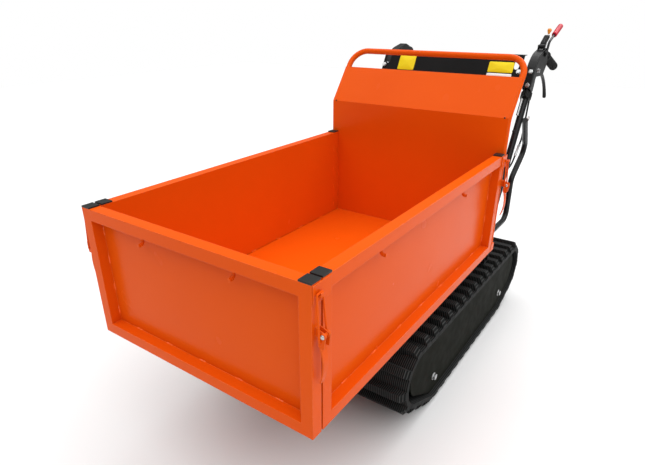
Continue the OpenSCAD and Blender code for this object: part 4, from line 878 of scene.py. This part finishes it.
def ridge_points(x):
    """A round ridge on a housing's side: an arc about the back's centre, with straight ends that fade."""
    centre, radius, ridge_r = CLAMP[1:] + [0.102, 0.0184], 0.117, 0.0016
    angle = np.radians(np.linspace(18, 78, 60))
    arc = centre + radius * np.stack([-np.cos(angle), np.sin(angle)], axis=1)
    way = np.stack([np.sin(angle), np.cos(angle)], axis=1)
    before = arc[0] - np.linspace(0.038, 0.001, 20)[:, None] * way[0]
    after = arc[-1] + np.linspace(0.001, 0.014, 10)[:, None] * way[-1]
    line = np.concatenate([before, arc, after])
    path = np.concatenate([np.full((len(line), 1), x), line], axis=1)
    fade = np.sqrt(np.clip(1 - np.linspace(-1, 1, len(line)) ** 8, 0.01, 1))
    return rings(path, ridge_r * fade, 10)


ridges = [ridge_points(HANDLE_X + HOUSING_HALF), ridge_points(HANDLE_X - HOUSING_HALF)]
ridges += [mirrored(ridge) for ridge in ridges]
dressed(surfaces("housing_ridges", ridges), "chassis", "black_plastic")

# Gear lever's bright stem
STEM_DIR = unit([0.0, 43.0, 92.0])
stem = lathe(CLAMP + [0, 0.150, 0.124] + 0.010 * STEM_DIR, STEM_DIR, [
    (0, 0.0026), (0.0004, 0.0029), (0.0716, 0.0029), (0.072, 0.0026),
], 24)
dressed(surface("gear_stem", stem), "gear_selector", "zinc_steel")

# Dark plugs in the headboard's corner holes: painted shade, where the holes show shade
shade_plug = lathe([0.332, 1.1056, 0.8661], -ALONG_Y, [
    (0, 0.0026), (0.0002, 0.0029), (0.0009, 0.0029), (0.0011, 0.0022),
], 24)
dressed(surfaces("headboard_shade_plugs", [shade_plug, mirrored(shade_plug)]), "bed", "black_plastic")

# Engine: the cylinder head's foot, lean and face, the crankshaft, and the faces that bolts stand on
HEAD_AT = np.array([-0.005, 1.395, 0.441])
HEAD_LEAN = math.radians(25)
HEAD_DIR = np.array([0.0, math.cos(HEAD_LEAN), math.sin(HEAD_LEAN)])
HEAD_UP = np.array([0.0, -math.sin(HEAD_LEAN), math.cos(HEAD_LEAN)])
HEAD_FACE = HEAD_AT + 0.136 * HEAD_DIR
CRANK = np.array([0.0, 1.330, 0.416])
CRANK_FACE_X = 0.104
CRANK_BOLTS_R = 0.036
CASE_FACE_X = 0.090
CASE_SPOTS = ((1.237, 0.322), (1.428, 0.322), (1.396, 0.478), (1.272, 0.500), (1.378, 0.500))


def about_crank(x, radius, degrees):
    """A point at a distance x beside the crankshaft's middle, on a circle about its axis."""
    angle = math.radians(degrees)
    return CRANK + [x, radius * math.cos(angle), radius * math.sin(angle)]


# Bolts of the cylinder head, the crankcase, and the gearbox with its upright seam
SEAM_HALF = 0.004
SEAM_BOLT_Y = GEARBOX_REAR + 0.0052
head_bolts = [hex_head(HEAD_FACE + x * ALONG_X + z * HEAD_UP, HEAD_DIR, 0.0075, 0.007)
              for x in (-0.046, 0.046) for z in (-0.042, 0.042)]
case_bolts = [hex_head(about_crank(CRANK_FACE_X, CRANK_BOLTS_R, degrees), ALONG_X, 0.0052, 0.005)
              for degrees in range(18, 378, 72)]
case_bolts += [hex_head([CASE_FACE_X, y, z], ALONG_X, 0.0052, 0.005) for y, z in CASE_SPOTS]
gearbox_bolts = [hex_head([sign * SEAM_HALF, SEAM_BOLT_Y, z], sign * ALONG_X, 0.0042, 0.0036)
                 for sign in (1, -1) for z in np.linspace(0.125, 0.285, 5)]
gearbox_bolts += [hex_head([x, GEARBOX_REAR, z], ALONG_Y, 0.0058, 0.005)
                  for x in (-0.084, 0.084) for z in (0.145, 0.292)]
gearbox_bolts += [
    hex_head([0.040, GEARBOX_REAR, 0.284], ALONG_Y, 0.0100, 0.008),
    hex_head([-0.045, GEARBOX_REAR, 0.152], ALONG_Y, 0.0090, 0.007),
    hex_head([0.050, 1.440, 0.331], ALONG_Y, 0.0090, 0.008),
]
bolt_sets = (("head_bolts", head_bolts), ("case_bolts", case_bolts), ("gearbox_bolts", gearbox_bolts))
for name, heads in bolt_sets:
    dressed(surfaces(name, heads, smooth=False), "chassis", "zinc_steel")

# Round cap on the cylinder head, and the hub and screws of the recoil cover
head_cap = lathe(HEAD_AT + 0.142 * HEAD_DIR, HEAD_DIR, [
    (0, 0.015), (0, 0.0315), (0.003, 0.0310), (0.0045, 0.0285), (0.0045, 0.010),
], 48)
recoil_hub = lathe(CRANK - 0.1655 * ALONG_X, -ALONG_X, [
    (0, 0.029), (0.0010, 0.0300), (0.0035, 0.0290), (0.0048, 0.024), (0.0050, 0.008),
], 48)
SCREW_PROFILE = [(0, 0.0055), (0.0030, 0.0055), (0.0048, 0.0042), (0.0055, 0.0015)]
recoil_screws = [lathe(about_crank(-0.1495, 0.090, degrees), -ALONG_X, SCREW_PROFILE, 24)
                 for degrees in (40, 130, 220, 310)]
dressed(surface("head_cap", head_cap), "chassis", "cast_alloy")
dressed(surface("recoil_hub", recoil_hub), "chassis", "black_plastic")
dressed(surfaces("recoil_screws", recoil_screws), "chassis", "zinc_steel")


# Rim of the muffler and plugs in the chassis rails
def frame_bead(centre, half_x, half_z, corner, radius):
    """A round bead along a rounded rectangle of constant Y: a circle with its quarters moved apart."""
    c, s = np.cos(full_turn(96))[:, None], np.sin(full_turn(96))[:, None]
    out = c * ALONG_X + s * ALONG_Z
    moved = np.sign(c) * (half_x - corner) * ALONG_X + np.sign(s) * (half_z - corner) * ALONG_Z
    line = centre + corner * out + moved
    ring = full_turn(12)[None, :, None]
    return line[:, None] + radius * (np.cos(ring) * out[:, None] + np.sin(ring) * ALONG_Y)


muffler_rim = frame_bead([-0.065, 1.4905, 0.609], 0.0525, 0.0435, corner=0.006, radius=0.0026)
dressed(surface("muffler_rim", muffler_rim, closing="loop"), "chassis", "black_steel")
rail_plug = rounded_box([0.1081, 1.516, 0.2481], [0.1419, 1.5325, 0.3019], 0.002, 0.002)
dressed(surfaces("rail_plugs", [rail_plug, mirrored(rail_plug)]), "chassis", "black_plastic")


# Floor
FLOOR_HALF = 9
floor_mesh = bpy.data.meshes.new("floor")
floor_corners = [(-FLOOR_HALF, -FLOOR_HALF, 0), (FLOOR_HALF, -FLOOR_HALF, 0),
                 (FLOOR_HALF, FLOOR_HALF, 0), (-FLOOR_HALF, FLOOR_HALF, 0)]
floor_mesh.from_pydata(floor_corners, [], [(0, 1, 2, 3)])
floor = added("floor", floor_mesh)
floor_paint, floor_tree, floor_shader, floor_place = nodes_of("studio_floor")
floor_cloud = noise(floor_tree, floor_place, 1.5, detail=3.0)
floor_tone = blended(floor_tree, floor_cloud, grey(0.75), grey(0.72))
floor_tree.links.new(floor_tone, floor_shader.inputs["Base Color"])
floor_shader.inputs["Roughness"].default_value = 0.9
floor_mesh.materials.append(floor_paint)

# Room light, which is dimmer than the white that the camera sees behind the floor
ROOM_LIGHT = 0.27
WHITE = (*grey(1.0), 1.0)
world = bpy.data.worlds.new("studio")
bpy.context.scene.world = world
world.use_nodes = True
studio = world.node_tree
room = studio.nodes["Background"]
room.inputs["Color"].default_value = WHITE
room.inputs["Strength"].default_value = ROOM_LIGHT
backdrop = studio.nodes.new("ShaderNodeBackground")
backdrop.inputs["Color"].default_value = WHITE
backdrop.inputs["Strength"].default_value = 1.0
seen = studio.nodes.new("ShaderNodeLightPath")
split = studio.nodes.new("ShaderNodeMixShader")
studio.links.new(seen.outputs["Is Camera Ray"], split.inputs[0])
studio.links.new(room.outputs[0], split.inputs[1])
studio.links.new(backdrop.outputs[0], split.inputs[2])
studio.links.new(split.outputs[0], studio.nodes["World Output"].inputs["Surface"])

# Broad light from overhead
overhead = bpy.data.lights.new("overhead", "SUN")
overhead.energy = 3.9
overhead.angle = math.radians(100)
added("overhead", overhead).rotation_euler = aimed((-0.13, 0.02, -0.99))


def soft_light(name, place, aim, size, power):
    """A square area light at place that faces aim."""
    data = bpy.data.lights.new(name, "AREA")
    data.energy = power
    data.size = size
    lamp = added(name, data)
    lamp.location = place
    lamp.rotation_euler = aimed(Vector(aim) - Vector(place))


soft_light("key", (-2.2, -2.6, 3.2), (0, -0.2, 0.5), 2.0, 8.0)
soft_light("fill", (3.2, -1.0, 1.8), (0, 0, 0.5), 1.6, 10.0)
soft_light("rim", (0.5, 3.0, 2.8), (0, 0, 0.6), 2.0, 30.0)
